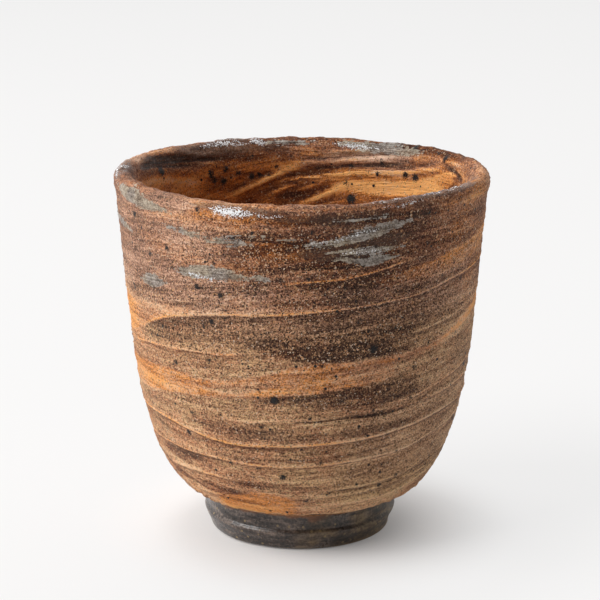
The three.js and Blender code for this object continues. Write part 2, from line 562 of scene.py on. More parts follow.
# %% The pale ridges on the front
pale_ridges = [
    ridge([(-66, 18.8), (-57, 15.8), (-44, 15.2), (-32, 15.8)], 0.6, 0.1, 0.1, 0.7),
    ridge([(-67, 19.9), (-52, 20.8), (-40, 21.2), (-30, 20.8), (-22, 20.4)], 0.7, 0.14, 0.0, 0.8),
    ridge([(8, 17), (19, 17.6), (28, 17.9), (38, 18.6), (53, 19.4), (70, 22)], 0.5, 0.06, 0.0, 0.5),
    ridge([(6, 19), (19, 19.6), (28, 19.8), (38, 20.6), (52, 22)], 0.5, 0.08, 0.0, 0.6),
    ridge([(4, 14.8), (25, 14.8), (40, 15.3), (51, 16.3), (61, 18.7), (72, 20)], 0.5, 0.12, 0.0, 0.5),
    ridge([(-78, 26), (-61, 26.4), (-42, 26.1), (-29, 26.1), (-19, 25.6), (-4, 25.5), (6, 26),
           (18, 26.7), (31, 27), (42, 27.9), (52, 29.4), (70, 30.8), (86, 32)], 0.6, 0.08, 0.2, 0.9),
    ridge([(-84, 33.2), (-71, 33.1), (-53, 32.9), (-42, 31.8), (-33, 31), (-22, 30.3), (-7, 30.7),
           (6, 31.3), (20, 32), (31, 32.8), (44, 33.7), (55, 34.7), (71, 35),
           (90, 36)], 0.8, 0.12, 0.4, 1.0),
    ridge([(26, 37.6), (41, 38.4), (53, 39.3), (69, 39.8), (88, 41)], 0.6, 0.08, 0.2, 0.7),
    ridge([(24, 39.4), (38, 40), (47, 41.2), (58, 42.4), (70, 43.4), (88, 45)], 0.6, 0.08, 0.3, 0.5),
    ridge([(-66, 52.4), (-57, 55.2), (-51, 57), (-41, 58.9), (-33, 60.1), (-22, 61), (-13, 61.2),
           (-1, 61.9), (7, 62.5), (15, 62.6), (21, 63.3), (30, 63.8), (37, 64.2), (52, 66),
           (88, 68)], 0.8, 0.12, 0.3, 0.95),
    ridge([(-76, 48.3), (-59, 50.1), (-47, 50.8), (-35, 51.3), (-28, 51.3), (-22, 51.7),
           (-12, 53)], 0.7, 0.12, 0.4, 0.7),
    ridge([(-88, 59.3), (-74, 59.5), (-59, 60.4), (-50, 61.1), (-38, 62.7),
           (-28, 64.4)], 0.6, 0.08, 0.3, 0.3),
    ridge([(-10, 68.5), (-1, 68.9), (11, 69.6), (19, 70.3), (24, 71.1), (30, 72),
           (40, 73.4)], 0.5, 0.1, 0.4, 0.9),
    ridge([(26, 55), (40, 55.6), (49, 56.4), (61, 57.8), (69, 58.7), (88, 61)], 0.8, 0.1, 0.3, 0.5),
    ridge([(4, 56.6), (11, 57), (18, 57.8), (28, 59.2)], 0.4, 0.1, 0.2, 0.5),
    ridge([(-30, 36.4), (-20, 35.9), (-8, 36.9), (6, 37.6)], 0.5, 0.08, 0.1, 0.5),
]
print(f"{len(pale_ridges)} pale ridges")

# %% [markdown]
# Between the ridges the flame left orange bands, and smoke and thin ash left dark ones. The narrowest
# dark lines are real grooves, scratched by a grain of sand that was dragged along by the finger, and
# their darkness is partly painted shade in the groove.

# %% The flame's bands and the dark ones
flame_bands = [
    cloud([(-115, 55), (-90, 55.5), (-72, 55), (-60, 54.4)], 5.5, 2.5, 0.14, 0.7),
    cloud([(-55, 81.4), (-40, 81.6), (-28, 81.8), (-10, 81.2)], 1.8, 1.0, 0.1, 0.7),
    cloud([(-66, 75.6), (-42, 74), (-22, 73)], 2.0, 1.2, 0.03, 0.7),
    cloud([(-12, 80.6), (0, 80.8), (14, 81)], 2.6, 1.4, warmth=0.5),
    cloud([(-90, 43), (-48, 43)], 3.0, 1.5, warmth=0.4),
    cloud([(-40, 12), (-24, 11.8), (-8, 11.8)], 1.2, 0.7, warmth=0.7),
    cloud([(-50, 71.4), (-30, 72), (-10, 71.2)], 1.0, 0.6, 0.02, 0.5),
]
dark_bands = [
    groove([(-8, 35.9), (-4, 36.3), (6, 36.6), (16, 37.1), (25, 37), (34, 37.4),
            (46, 38.3)], 0.35, 0.25, -0.16, -0.1, 0.8),
    groove([(2, 18), (19, 18.6), (32, 18.7), (42, 19.3), (53, 20.4),
            (68, 22.8)], 0.35, 0.25, -0.14, 0.0, 0.6),
    groove([(-2, 57.3), (9, 57.6), (13, 57.9), (18, 58.6), (28, 60)], 0.35, 0.25, -0.14, 0.0, 0.9),
    cloud([(-50, 35.4), (-25, 33.8), (-4, 33.6), (15, 34.4)], 1.3, 0.9, -0.06, -0.1),
    cloud([(-50, 22.5), (-15, 20.6), (10, 20), (40, 24.5)], 1.2, 0.8, -0.1, 0.1),
    cloud([(-16, 83.6), (0, 83.6), (11, 83.2), (32, 83.9)], 1.3, 0.6, -0.3),
    groove([(-10, 72.2), (5, 72), (13, 72.1), (22, 72.2)], 0.4, 0.3, -0.16, 0.0, 0.8),
    groove([(-24, 78.4), (-10, 77.9), (6, 77.7)], 0.4, 0.3, -0.1, 0.0, 0.7),
    cloud([(-24, 75), (10, 74.5), (40, 76.5), (75, 79)], 4.0, 2.5, -0.08, 0.4),
    cloud([(-30, 73), (0, 72), (30, 74), (80, 77)], 6.5, 3.0, -0.14),
]
print(f"{len(flame_bands)} flame bands and {len(dark_bands)} dark ones")

# %% [markdown]
# Fire never colours a pot evenly. Wide soft clouds darken the wall where smoke hung, or lighten it where
# it burnt clean, and small ones break up the bands, so that no streak keeps one colour for long.

# %% Clouds of smoke and glow
smoke_clouds = [
    cloud([(0, 66), (14, 64.5), (28, 63), (48, 63)], 6.5, 4.0, -0.22),
    cloud([(-34, 78), (-8, 77.8), (12, 76.4), (26, 75.5)], 2.6, 1.8, -0.14),
    cloud([(24, 82), (33, 82.6), (44, 83.2)], 1.2, 0.8, -0.16),
    cloud([(-100, 72), (-70, 72), (-45, 71), (-20, 70)], 11.0, 5.0, warmth=-1.05),
    cloud([(4, 60), (20, 59.5), (40, 60), (64, 62)], 8.0, 3.0, warmth=-0.75),
    cloud([(8, 23), (30, 24), (50, 26), (72, 28)], 10.0, 4.0, -0.03, -0.95),
    cloud([(-72, 84), (-30, 84)], 1.8, 0.8, -0.05, -0.8),
    cloud([(12, 48), (38, 48)], 2.4, 1.0, warmth=-0.6),
    cloud([(20, 32), (40, 32), (60, 34), (95, 36)], 14.0, 6.0, warmth=-0.45),
    cloud([(-8, 80.8), (12, 80.3), (34, 81.4), (52, 83.6)], 2.0, 1.2, -0.1),
    cloud([(-20, 68.6), (0, 68.2), (16, 68.6)], 1.6, 1.0, -0.16, 0.2),
    cloud([(-10, 60.4), (8, 60.2), (20, 60.8)], 1.3, 0.8, -0.12),
    cloud([(-6, 75.6), (12, 75), (30, 75.4)], 2.0, 1.2, -0.1, 0.2),
    cloud([(-14, 63.2), (0, 63.4), (14, 64), (28, 64.8)], 1.2, 0.7, -0.24),
    cloud([(-18, 78.2), (0, 78), (18, 77.6)], 1.4, 0.8, -0.1, 0.1),
    cloud([(6, 75.2), (18, 75), (32, 75)], 1.2, 0.7, -0.1),
    cloud([(-8, 51.2), (4, 51), (16, 51)], 1.0, 0.6, -0.16),
    cloud([(14, 42), (34, 42)], 0.9, 0.5, -0.12),
    cloud([(14, 36.2), (25, 36), (35, 36.4)], 1.0, 0.6, -0.16),
    cloud([(14, 33.2), (28, 33.4), (44, 34)], 0.9, 0.5, -0.12),
    cloud([(-22, 33), (-2, 33)], 0.9, 0.5, -0.12),
    cloud([(36, 27), (48, 27), (60, 27.4)], 1.2, 0.7, -0.12),
    cloud([(-10, 12), (10, 12)], 1.2, 0.7, -0.12),
]
glow_clouds = [
    cloud([(36, 76), (52, 77), (70, 78), (97, 78)], 8.0, 4.0, 0.18, -0.1),
    cloud([(-78, 83), (-50, 82.8), (-30, 83.7), (-18, 83.8)], 1.6, 1.0, 0.16, 0.1),
    cloud([(-48, 72.4), (-36, 71.6), (-22, 70.2)], 2.0, 1.2, 0.1, 0.2),
    cloud([(42, 52), (58, 56), (74, 58), (96, 60)], 9.0, 4.0, 0.08),
    cloud([(-84, 62), (-66, 63), (-60, 63)], 3.0, 2.0, 0.1, 0.1),
    cloud([(-20, 76.4), (-4, 76.4), (12, 76.6)], 2.2, 1.0, warmth=0.7),
    cloud([(38, 84), (78, 84)], 2.0, 1.0, warmth=0.4),
    cloud([(26, 68.6), (37, 69.2), (48, 69.8)], 1.2, 0.7, 0.16, 0.3),
    cloud([(-8, 57.2), (0, 57.2), (7, 57.4)], 0.9, 0.5, 0.14),
    cloud([(26, 50.6), (48, 52), (66, 54), (86, 56)], 2.0, 1.0, 0.08, 0.1),
    cloud([(-60, 18), (-36, 18)], 1.0, 0.6, 0.14),
    cloud([(24, 12), (40, 12.4), (58, 13)], 1.6, 0.8, 0.1),
    cloud([(54, 58), (66, 60), (86, 62)], 5.0, 2.0, 0.08),
    cloud([(98, 86.2), (164, 86.2)], 1.0, 0.6, -0.12, 0.6),
    cloud([(160, 86.2), (220, 86.2)], 1.0, 0.6, -0.06, 0.4),
    cloud([(-44, 85.7), (0, 85.8), (44, 85.7)], 0.8, 0.5, 0.12, 0.1),
    cloud([(-80, 70), (-36, 70), (-20, 69)], 10.0, 4.0, 0.025),
    cloud([(-84, 55), (-50, 55)], 4.0, 2.0, 0.06),
    cloud([(-30, 48), (-10, 47), (12, 47)], 3.0, 1.5, 0.05),
    cloud([(-16, 20), (30, 20)], 5.0, 2.0, 0.05),
    cloud([(-62, 18), (-28, 18)], 1.6, 0.8, 0.12),
    cloud([(-34, 24.4), (-18, 24), (4, 24)], 1.2, 0.6, 0.1),
    cloud([(48, 75), (60, 75.6), (72, 76)], 1.8, 1.0, 0.14),
    cloud([(-32, 60), (-22, 60), (-14, 60.4)], 0.8, 0.4, 0.1),
    cloud([(40, 36.4), (49, 37), (58, 38)], 1.0, 0.6, 0.12),
    cloud([(-60, 57.4), (-34, 57.4)], 1.6, 0.8, 0.08),
]
small_clouds = [
    cloud([(8, 75.2), (16, 75), (28, 75)], 1.3, 0.7, -0.16),
    cloud([(6, 84.2), (13, 84), (20, 84)], 0.9, 0.5, -0.14),
    cloud([(6, 78.2), (12, 78.4), (18, 78.6)], 0.9, 0.5, -0.14),
    cloud([(20, 70.4), (34, 70.6), (46, 71)], 2.0, 1.0, 0.1),
    cloud([(50, 78), (62, 79), (76, 80)], 4.0, 2.0, 0.08),
    cloud([(-18, 75), (4, 75)], 0.9, 0.5, 0.1),
    cloud([(-6, 58.6), (1, 58.8), (8, 59)], 2.2, 1.0, 0.1),
    cloud([(-6, 51), (16, 51)], 1.0, 0.5, -0.1),
    cloud([(-52, 40), (-38, 39), (-24, 38)], 5.0, 2.0, -0.05),
    cloud([(18, 30), (30, 30), (40, 30.4)], 1.2, 0.6, -0.12),
    cloud([(-16, 12), (4, 12)], 1.0, 0.5, -0.1),
    cloud([(4, 15.4), (20, 15.4), (46, 15)], 1.6, 0.8, 0.09, 0.1),
    cloud([(-52, 18), (-20, 18)], 1.4, 0.7, 0.07),
    cloud([(-72, 27), (-44, 27)], 4.0, 2.0, 0.05),
    cloud([(20, 13), (40, 13), (62, 14)], 2.4, 1.2, 0.03, 0.3),
    cloud([(-84, 81), (-56, 81)], 1.6, 0.8, warmth=-0.5),
    cloud([(-46, 79.6), (-32, 80), (-20, 80)], 2.2, 1.0, warmth=-0.3),
    cloud([(-20, 74.6), (-12, 74.4), (-6, 74)], 3.4, 1.5, warmth=-0.4),
    cloud([(-5, 78), (5, 78)], 1.4, 0.7, warmth=0.6),
    cloud([(-6, 84.2), (6, 84.2)], 1.0, 0.5, 0.04, 0.6),
    cloud([(-84, 64), (-66, 64.5), (-54, 65)], 5.5, 2.5, warmth=-0.25),
    cloud([(18, 72), (40, 72.4), (64, 73)], 1.4, 0.7, warmth=-0.25),
    cloud([(-54, 54), (-42, 54)], 1.4, 0.7, warmth=-0.4),
    cloud([(50, 54), (58, 54.4), (66, 55)], 1.2, 0.6, warmth=0.4),
    cloud([(-78, 48), (-60, 48)], 1.2, 0.6, 0.04, 0.35),
    cloud([(-74, 16.4), (-52, 16.4)], 2.4, 1.2, warmth=0.3),
    cloud([(-28, 18.4), (-18, 18.4)], 1.2, 0.6, warmth=0.4),
    cloud([(40, 24), (48, 24), (56, 24.4)], 3.5, 1.5, warmth=-0.25),
    cloud([(18, 51), (32, 51)], 1.0, 0.5, warmth=0.35),
    cloud([(-14, 58), (8, 58)], 2.4, 1.2, 0.05),
    cloud([(-8, 25.5), (2, 25.5), (14, 26)], 2.5, 1.2, 0.06),
    cloud([(-2, 83), (14, 82.6), (34, 83.2)], 1.2, 0.6, -0.12, 0.4),
    cloud([(-82, 84.2), (-64, 83.6), (-48, 83)], 1.6, 0.8, -0.05, -0.3),
    cloud([(-58, 84.8), (-26, 84.8)], 1.6, 0.7, warmth=-0.6),
    cloud([(-22, 83), (-6, 82.8), (9, 82.8)], 1.0, 0.5, warmth=0.9),
    cloud([(-9, 83.4), (0, 83.4), (9, 83.6)], 0.9, 0.4, 0.2, 0.1),
    cloud([(46, 85.2), (64, 85.2)], 1.2, 0.6, -0.12, 0.3),
    cloud([(54, 84), (66, 84.4), (82, 84.6)], 2.2, 1.0, 0.04, 0.35),
    cloud([(-24, 84.6), (-18, 84.4), (-12, 84)], 1.2, 0.6, -0.13),
    cloud([(-46, 84.2), (-34, 84.3), (-27, 84.4)], 0.8, 0.4, 0.18, -0.4),
    cloud([(-38, 85.8), (-29, 85.7), (-20, 85.8)], 0.5, 0.3, -0.18, -0.3),
    cloud([(-60, 82.4), (-48, 82.4)], 0.9, 0.4, -0.1),
    cloud([(-50, 13), (-20, 13.4), (10, 13), (40, 12.6)], 3.0, 1.5, 0.02, 0.25),
    cloud([(-78, 22.6), (-64, 21.6), (-50, 20.8), (-34, 20.6)], 0.8, 0.5, 0.16),
    cloud([(-66, 14.8), (-50, 13), (-34, 11.6), (-14, 11)], 0.7, 0.4, 0.18, 0.3),
    cloud([(-4, 19.5), (18, 19.5)], 2.5, 1.2, 0.05),
    cloud([(-70, 76), (-20, 75), (20, 75), (50, 76)], 9.0, 4.0, warmth=-0.2),
    cloud([(108, 86.2), (162, 86.2)], 0.9, 0.5, -0.16, 0.5),
]
front_strokes = pale_ridges + flame_bands + dark_bands + smoke_clouds + glow_clouds + small_clouds
print(f"{len(front_strokes)} strokes outside")

# %% [markdown]
# Inside, the fingers left steeper ridges, which rise to the right behind the mouth. The bevel under the
# lip has fine grooves along it, with paler and darker streaks of glass in between.

# %% The strokes inside
inner_strokes = [
    ridge(within((214, 71.6), (203, 73.6), (196, 75.3), (190, 76.9), (185, 78.3),
                 (174, 79.6)), 0.6, 0.18, 0.1, 1.0),
    ridge(within((199, 70.2), (193, 71.9), (187, 73.6), (181, 74.8), (176, 76),
                 (165, 77)), 0.6, 0.16, 0.1, 0.9),
    ridge(within((187, 71.6), (181, 73.3), (173, 75.1), (168, 75.9), (158, 76.7)), 0.5, 0.14, 0.1, 0.8),
    ridge(within((186, 68), (179, 69.8), (171, 71.9), (165, 73.8), (156, 75)), 0.5, 0.14, 0.1, 0.8),
    ridge(within((192, 75.4), (181, 76), (169, 76.8), (161, 77.6), (151, 78.2), (140, 79), (131, 80.3),
                 (116, 82.4)), 0.7, 0.16, 0.1, 0.9),
    cloud(within((210, 78.6), (196, 79.6), (188, 79.6), (174, 79)), 1.0, 0.7, 0.28, 0.2),
    cloud(within((218, 81.5), (204, 81.6), (190, 81.6)), 0.9, 0.6, -0.24, 0.3),
    cloud(within((228, 76.6), (214, 75), (204, 73)), 2.2, 1.0, -0.4, 0.5),
    cloud(within((178, 82.4), (156, 82.6), (136, 82.8)), 1.0, 0.7, 0.26, -0.8),
    cloud(within((230, 84), (212, 83), (196, 83)), 1.4, 0.8, warmth=-1.2),
    cloud(within((122, 79.4), (110, 79.6), (98, 81)), 1.7, 0.9, -0.34, 0.2),
    ridge(within((192, 80), (165, 80.7), (152, 81.8), (136, 83.8)), 0.5, 0.06, 0.0, 0.5),
    ridge(within((176, 82.2), (158, 82.9), (144, 84), (132, 85.2)), 0.5, 0.04, 0.0, 0.4),
    groove(within((188, 78.5), (165, 79.2), (151, 80.1), (136, 81.8)), 0.7, 0.3, -0.1, 0.2, 0.9),
    groove(within((184, 80.7), (173, 81.3), (154, 82.5), (134, 84.3)), 0.4, 0.3, -0.08, 0.1, 0.9),
    cloud(within((264, 84.2), (235, 83.2), (220, 82.7), (203, 82.2), (186, 82)), 0.9, 0.6, -0.2, 0.2),
    groove(within((121, 84.2), (111, 82.6), (104, 82), (94, 81.2)), 0.5, 0.4, -0.25, 0.2, 1.0),
    # painted shade: the deep inner wall, seen over the front lip, is darkened
    cloud(within((240, 69), (215, 68), (195, 66), (170, 65), (135, 65)), 3.2, 2.0, -0.42, 0.3),
    cloud(within((214, 84.2), (204, 84), (196, 83.8)), 1.0, 0.5, 0.36, -0.4),
    cloud(within((184, 82.2), (168, 82), (148, 82.2)), 0.8, 0.5, 0.2, -0.1),
    cloud(within((144, 82.2), (130, 82.4), (114, 83)), 1.0, 0.6, 0.22),
    cloud(within((250, 79.8), (230, 79), (210, 78.8)), 1.2, 0.8, 0.22, 0.2),
    cloud(within((198, 79.4), (184, 79), (172, 79)), 0.8, 0.6, 0.18, 0.2),
    cloud(within((198, 72.4), (184, 71.6), (172, 71)), 1.3, 0.8, -0.3, 1.0),
    cloud(within((150, 80.4), (136, 80.2), (124, 80.4)), 1.0, 0.6, -0.18, -0.5),
    cloud(within((162, 79), (148, 79), (134, 79.4)), 1.2, 0.6, 0.04, -0.7),
    cloud(within((144, 75.4), (132, 76), (118, 77.2)), 1.6, 0.8, warmth=0.7),
    cloud(within((200, 83.6), (190, 83), (180, 83.4)), 1.2, 0.6, -0.26),
    cloud(within((164, 83.4), (148, 83.4), (132, 84)), 1.4, 0.7, 0.16, -0.4),
    cloud(within((220, 75.6), (212, 74.8), (202, 73.8)), 1.2, 0.6, -0.2, 0.2),
    cloud(within((266, 85.4), (254, 85.4), (244, 85)), 1.0, 0.6, 0.2, -0.4),
    cloud(within((128, 78.6), (114, 79), (102, 80)), 2.2, 1.0, -0.22, 0.3),
    cloud(within((214, 74.6), (205, 73.9), (196, 73.4)), 0.9, 0.5, -0.26, 0.3),
    cloud(within((240, 80.2), (230, 79.8), (220, 79.6)), 1.0, 0.6, -0.14),
    cloud(within((190, 71.2), (181, 70.8), (174, 70.6)), 1.0, 0.6, -0.26, 0.4),
    cloud(within((260, 81.4), (250, 80.4), (244, 79)), 1.0, 0.5, 0.24, 0.3),
    cloud(within((247, 81.6), (240, 81.2), (233, 81)), 0.6, 0.4, -0.24),
    cloud(within((238, 79.4), (232, 79), (226, 78.8)), 0.5, 0.3, -0.2, 0.1),
    cloud(within((227, 78.6), (221, 78), (215, 77.6)), 0.7, 0.4, 0.2),
    cloud(within((227, 81.2), (221, 81), (215, 81)), 0.6, 0.4, -0.18),
    cloud(within((210, 84.4), (204, 84), (199, 84)), 0.7, 0.4, 0.3, -0.5),
    cloud(within((200, 84), (192, 83.6), (181, 83.2)), 1.0, 0.5, -0.2),
    cloud(within((187, 79.2), (180, 78.8), (173, 78.6)), 0.8, 0.4, 0.24, 0.3),
    cloud(within((187, 75.8), (180, 75.2), (173, 74.8)), 1.0, 0.5, -0.2, 0.3),
    cloud(within((217, 73.2), (212, 72.8), (207, 72.4)), 0.7, 0.4, -0.28, 0.2),
    cloud(within((185, 71.6), (180, 71.2), (175, 71)), 0.8, 0.4, -0.2, 0.9),
    cloud(within((162, 82.4), (150, 82), (137, 82)), 0.9, 0.5, 0.16, -0.4),
    cloud(within((147, 80), (138, 79.8), (129, 80)), 0.7, 0.4, -0.18, -0.3),
    cloud(within((128, 83.6), (120, 83.8), (111, 84.4)), 1.1, 0.5, 0.22),
    cloud(within((154, 75), (148, 74.6), (143, 74.4)), 0.9, 0.4, 0.14, 0.2),
    cloud(within((268, 85.2), (250, 85.2), (233, 85)), 0.8, 0.5, 0.16, -0.5),
    groove(within((254, 85.3), (246, 85), (234, 84.1), (222, 83)), 0.35, 0.3, -0.16, -0.2, 0.9),
    groove(within((262, 85), (254, 84.6), (231, 82.8), (204, 81.3)), 0.35, 0.3, -0.16, 0.0, 0.9),
    groove(within((262, 84.4), (256, 84), (237, 82.1), (218, 80.8)), 0.35, 0.3, -0.16, 0.2, 0.9),
    cloud(within((264, 82), (241, 79.6), (227, 77.4), (214, 76)), 0.9, 0.5, 0.2, -0.1),
    cloud(within((262, 79.8), (241, 77.6), (228, 75.4), (218, 74)), 1.0, 0.6, -0.16, 0.1),
    cloud(within((172, 80), (154, 81), (138, 82.4)), 0.9, 0.5, 0.3, -0.2),
    cloud(within((168, 76.2), (153, 76.9), (136, 77.8)), 0.4, 0.3, -0.22, 0.2),
]
print(f"{len(inner_strokes)} strokes inside")

# %% [markdown]
# The rest of the wall gets strokes of the same kind from a seeded loop: ridges about as far apart as
# the front's, some with an orange band or a dark one beside them, running round the back.

# %% The strokes round the back
BACK_SPACING = 4.6
FLAME_CHANCE = 0.3
DARK_CHANCE = 0.45
DEEP_SPACING = 5.5
DEEP_TILT = 3.0


def back_strokes():
    draw = np.random.default_rng(41)
    made = []
    for even in np.arange(18, 80, BACK_SPACING):
        base = even + draw.uniform(-1.6, 1.6)
        start = draw.uniform(78, 160)
        end = draw.uniform(225, 284)
        slope, bend = draw.uniform(-2.5, 2.5), draw.uniform(-1.5, 1.5)
        middle = (start + end) / 2
        places = np.linspace(start, end, 6)
        swing = (places - middle) / (end - start)
        line = [(a, base + slope * s + bend * math.sin(5 * s)) for a, s in zip(places, swing)]
        made.append(ridge(line, 0.7, 0.08, 0.25, draw.uniform(0.5, 1.0)))
        kind = draw.uniform()
        lower = [(a, z - BACK_SPACING / 2) for a, z in line]
        if kind < FLAME_CHANCE:
            made.append(cloud(lower, draw.uniform(1.4, 2.6), STROKE_SOFT, 0.14, 0.8))
        elif kind < FLAME_CHANCE + DARK_CHANCE:
            made.append(cloud(lower, draw.uniform(1.0, 2.2), STROKE_SOFT, -0.2, -0.15))
    return made


def deep_strokes():
    """Finger ridges further down inside the cup, all the way round."""
    draw = np.random.default_rng(7)
    made = []
    for base in np.arange(106, 152, DEEP_SPACING):
        start = draw.uniform(0, 360)
        places = np.linspace(start, start + draw.uniform(230, 340), 7)
        tilted = [base + DEEP_TILT * math.sin(math.radians(a)) for a in places]
        line = [(a, z + draw.uniform(-0.4, 0.4)) for a, z in zip(places, tilted)]
        made.append(ridge(line, 1.2, draw.uniform(-0.06, 0.12), 0.1, draw.uniform(0.5, 0.9)))
    return made


strokes = front_strokes + inner_strokes + back_strokes() + deep_strokes()
print(f"{len(strokes)} strokes in all")

# %% [markdown]
# Each stroke is laid onto the grid in turn. A thin ridge line would break up between the grid's points,
# so the count field numbers the ridges from the foot up and runs straight through each whole number as
# it passes that ridge. The shader finds the line again, as sharp as it likes, where the count is whole.

# %% Lay the strokes onto the grid
FADE_DEGREES = 12.0
CORNER_DEGREES = 5.0
CORNER_STEPS = 7
COUNT_REACH = 3.0
INNER_WIDTH = 2.2
CREST_ENDS = (0.25, 0.4)
RIDGE_HEIGHT = 0.45
RIDGE_WIDTH = 0.8
TROUGH_DEPTH = 0.3
TROUGH_BELOW = 1.6
TROUGH_WIDTH = 1.0
TROUGH_SHADE = 0.06
RAGGED_EDGE = 0.6
RAGGED_LINE = 0.2
FAR_AWAY = 99.0
FAINTEST = 0.01


def through(points):
    """The height of a line through the points, at each column of the grid, with its corners rounded."""
    places, heights = np.array(points, float).T
    here = places[0] + (degrees - places[0]) % 360
    shifts = np.linspace(-CORNER_DEGREES, CORNER_DEGREES, CORNER_STEPS)
    return sum(np.interp(here + shift, places, heights) for shift in shifts) / len(shifts)


def span_of(points, fade):
    """One between the first and the last point, eased to nothing at both."""
    first, last = points[0][0], points[-1][0]
    here = first + (degrees - first) % 360
    strength = ease(here, first, first + fade) * (1 - ease(here, last - fade, last))
    return np.where(here <= last, strength, 0.0)


tone = np.zeros_like(height)
warmth = np.zeros_like(height)
relief = np.zeros_like(height)
count = np.full_like(height, 0.5)
crest = np.zeros_like(height)
nearest = np.full_like(height, FAR_AWAY)
reach = COUNT_REACH * np.where(height > CUP_HEIGHT, INNER_WIDTH, 1.0)

strokes.sort(key=lambda stroke: np.mean([z for _, z in stroke.points]))
for number, stroke in enumerate(strokes, start=1):
    strength = span_of(stroke.points, FADE_DEGREES)
    away = height - through(stroke.points)
    edge = np.abs(away + RAGGED_EDGE * ragged)
    shape = strength * (1 - ease(edge, stroke.half - stroke.soft, stroke.half + stroke.soft))
    tone += stroke.tone * shape
    warmth += stroke.warmth * shape
    power = stroke.crest * strength
    relief += power * RIDGE_HEIGHT * hump(away, 0, RIDGE_WIDTH)
    if stroke.crest > 0:
        trough = hump(away, -TROUGH_BELOW, TROUGH_WIDTH)
        relief -= power * TROUGH_DEPTH * trough
        # painted shade: the tone is darkened in the trough below each ridge
        tone -= TROUGH_SHADE * power * trough
    if stroke.crest != 0:
        line = away + RAGGED_LINE * ragged
        gap = np.abs(line)
        closest = (gap < nearest) & (strength > FAINTEST)
        nearest = np.where(closest, gap, nearest)
        count = np.where(closest, number + np.clip(line / reach, -0.5, 0.5), count)
        crest = np.where(closest, power * (1 - ease(gap / reach, *CREST_ENDS)), crest)
print(f"ridges stand {relief.max():.2f} mm up and {-relief.min():.2f} mm deep")

# %% [markdown]
# ## Sheets of slip with crisp edges
# As the pot turned, wet slip was dragged round it in thin sheets, and each one dried with an edge. The
# orange sheets are fine and smooth, and the brown ones between them carry the coarse sand. A sheet is
# given by its upper and lower edge. Where the two edges meet it ends in a tip.

# %% The sheets of slip
Sheet = namedtuple("Sheet", "upper lower tone warmth grit", defaults=(0.0, 0.0, 0.0))
SHEET_EDGE = (-0.2, 0.4)
SHEET_FADE = 6.0
RAGGED_SHEET = 0.25


def inner_sheet(top, bottom, *look):
    """A sheet inside the cup, where the bottom edge has the larger unrolled height."""
    return Sheet(within(*bottom), within(*top), *look)


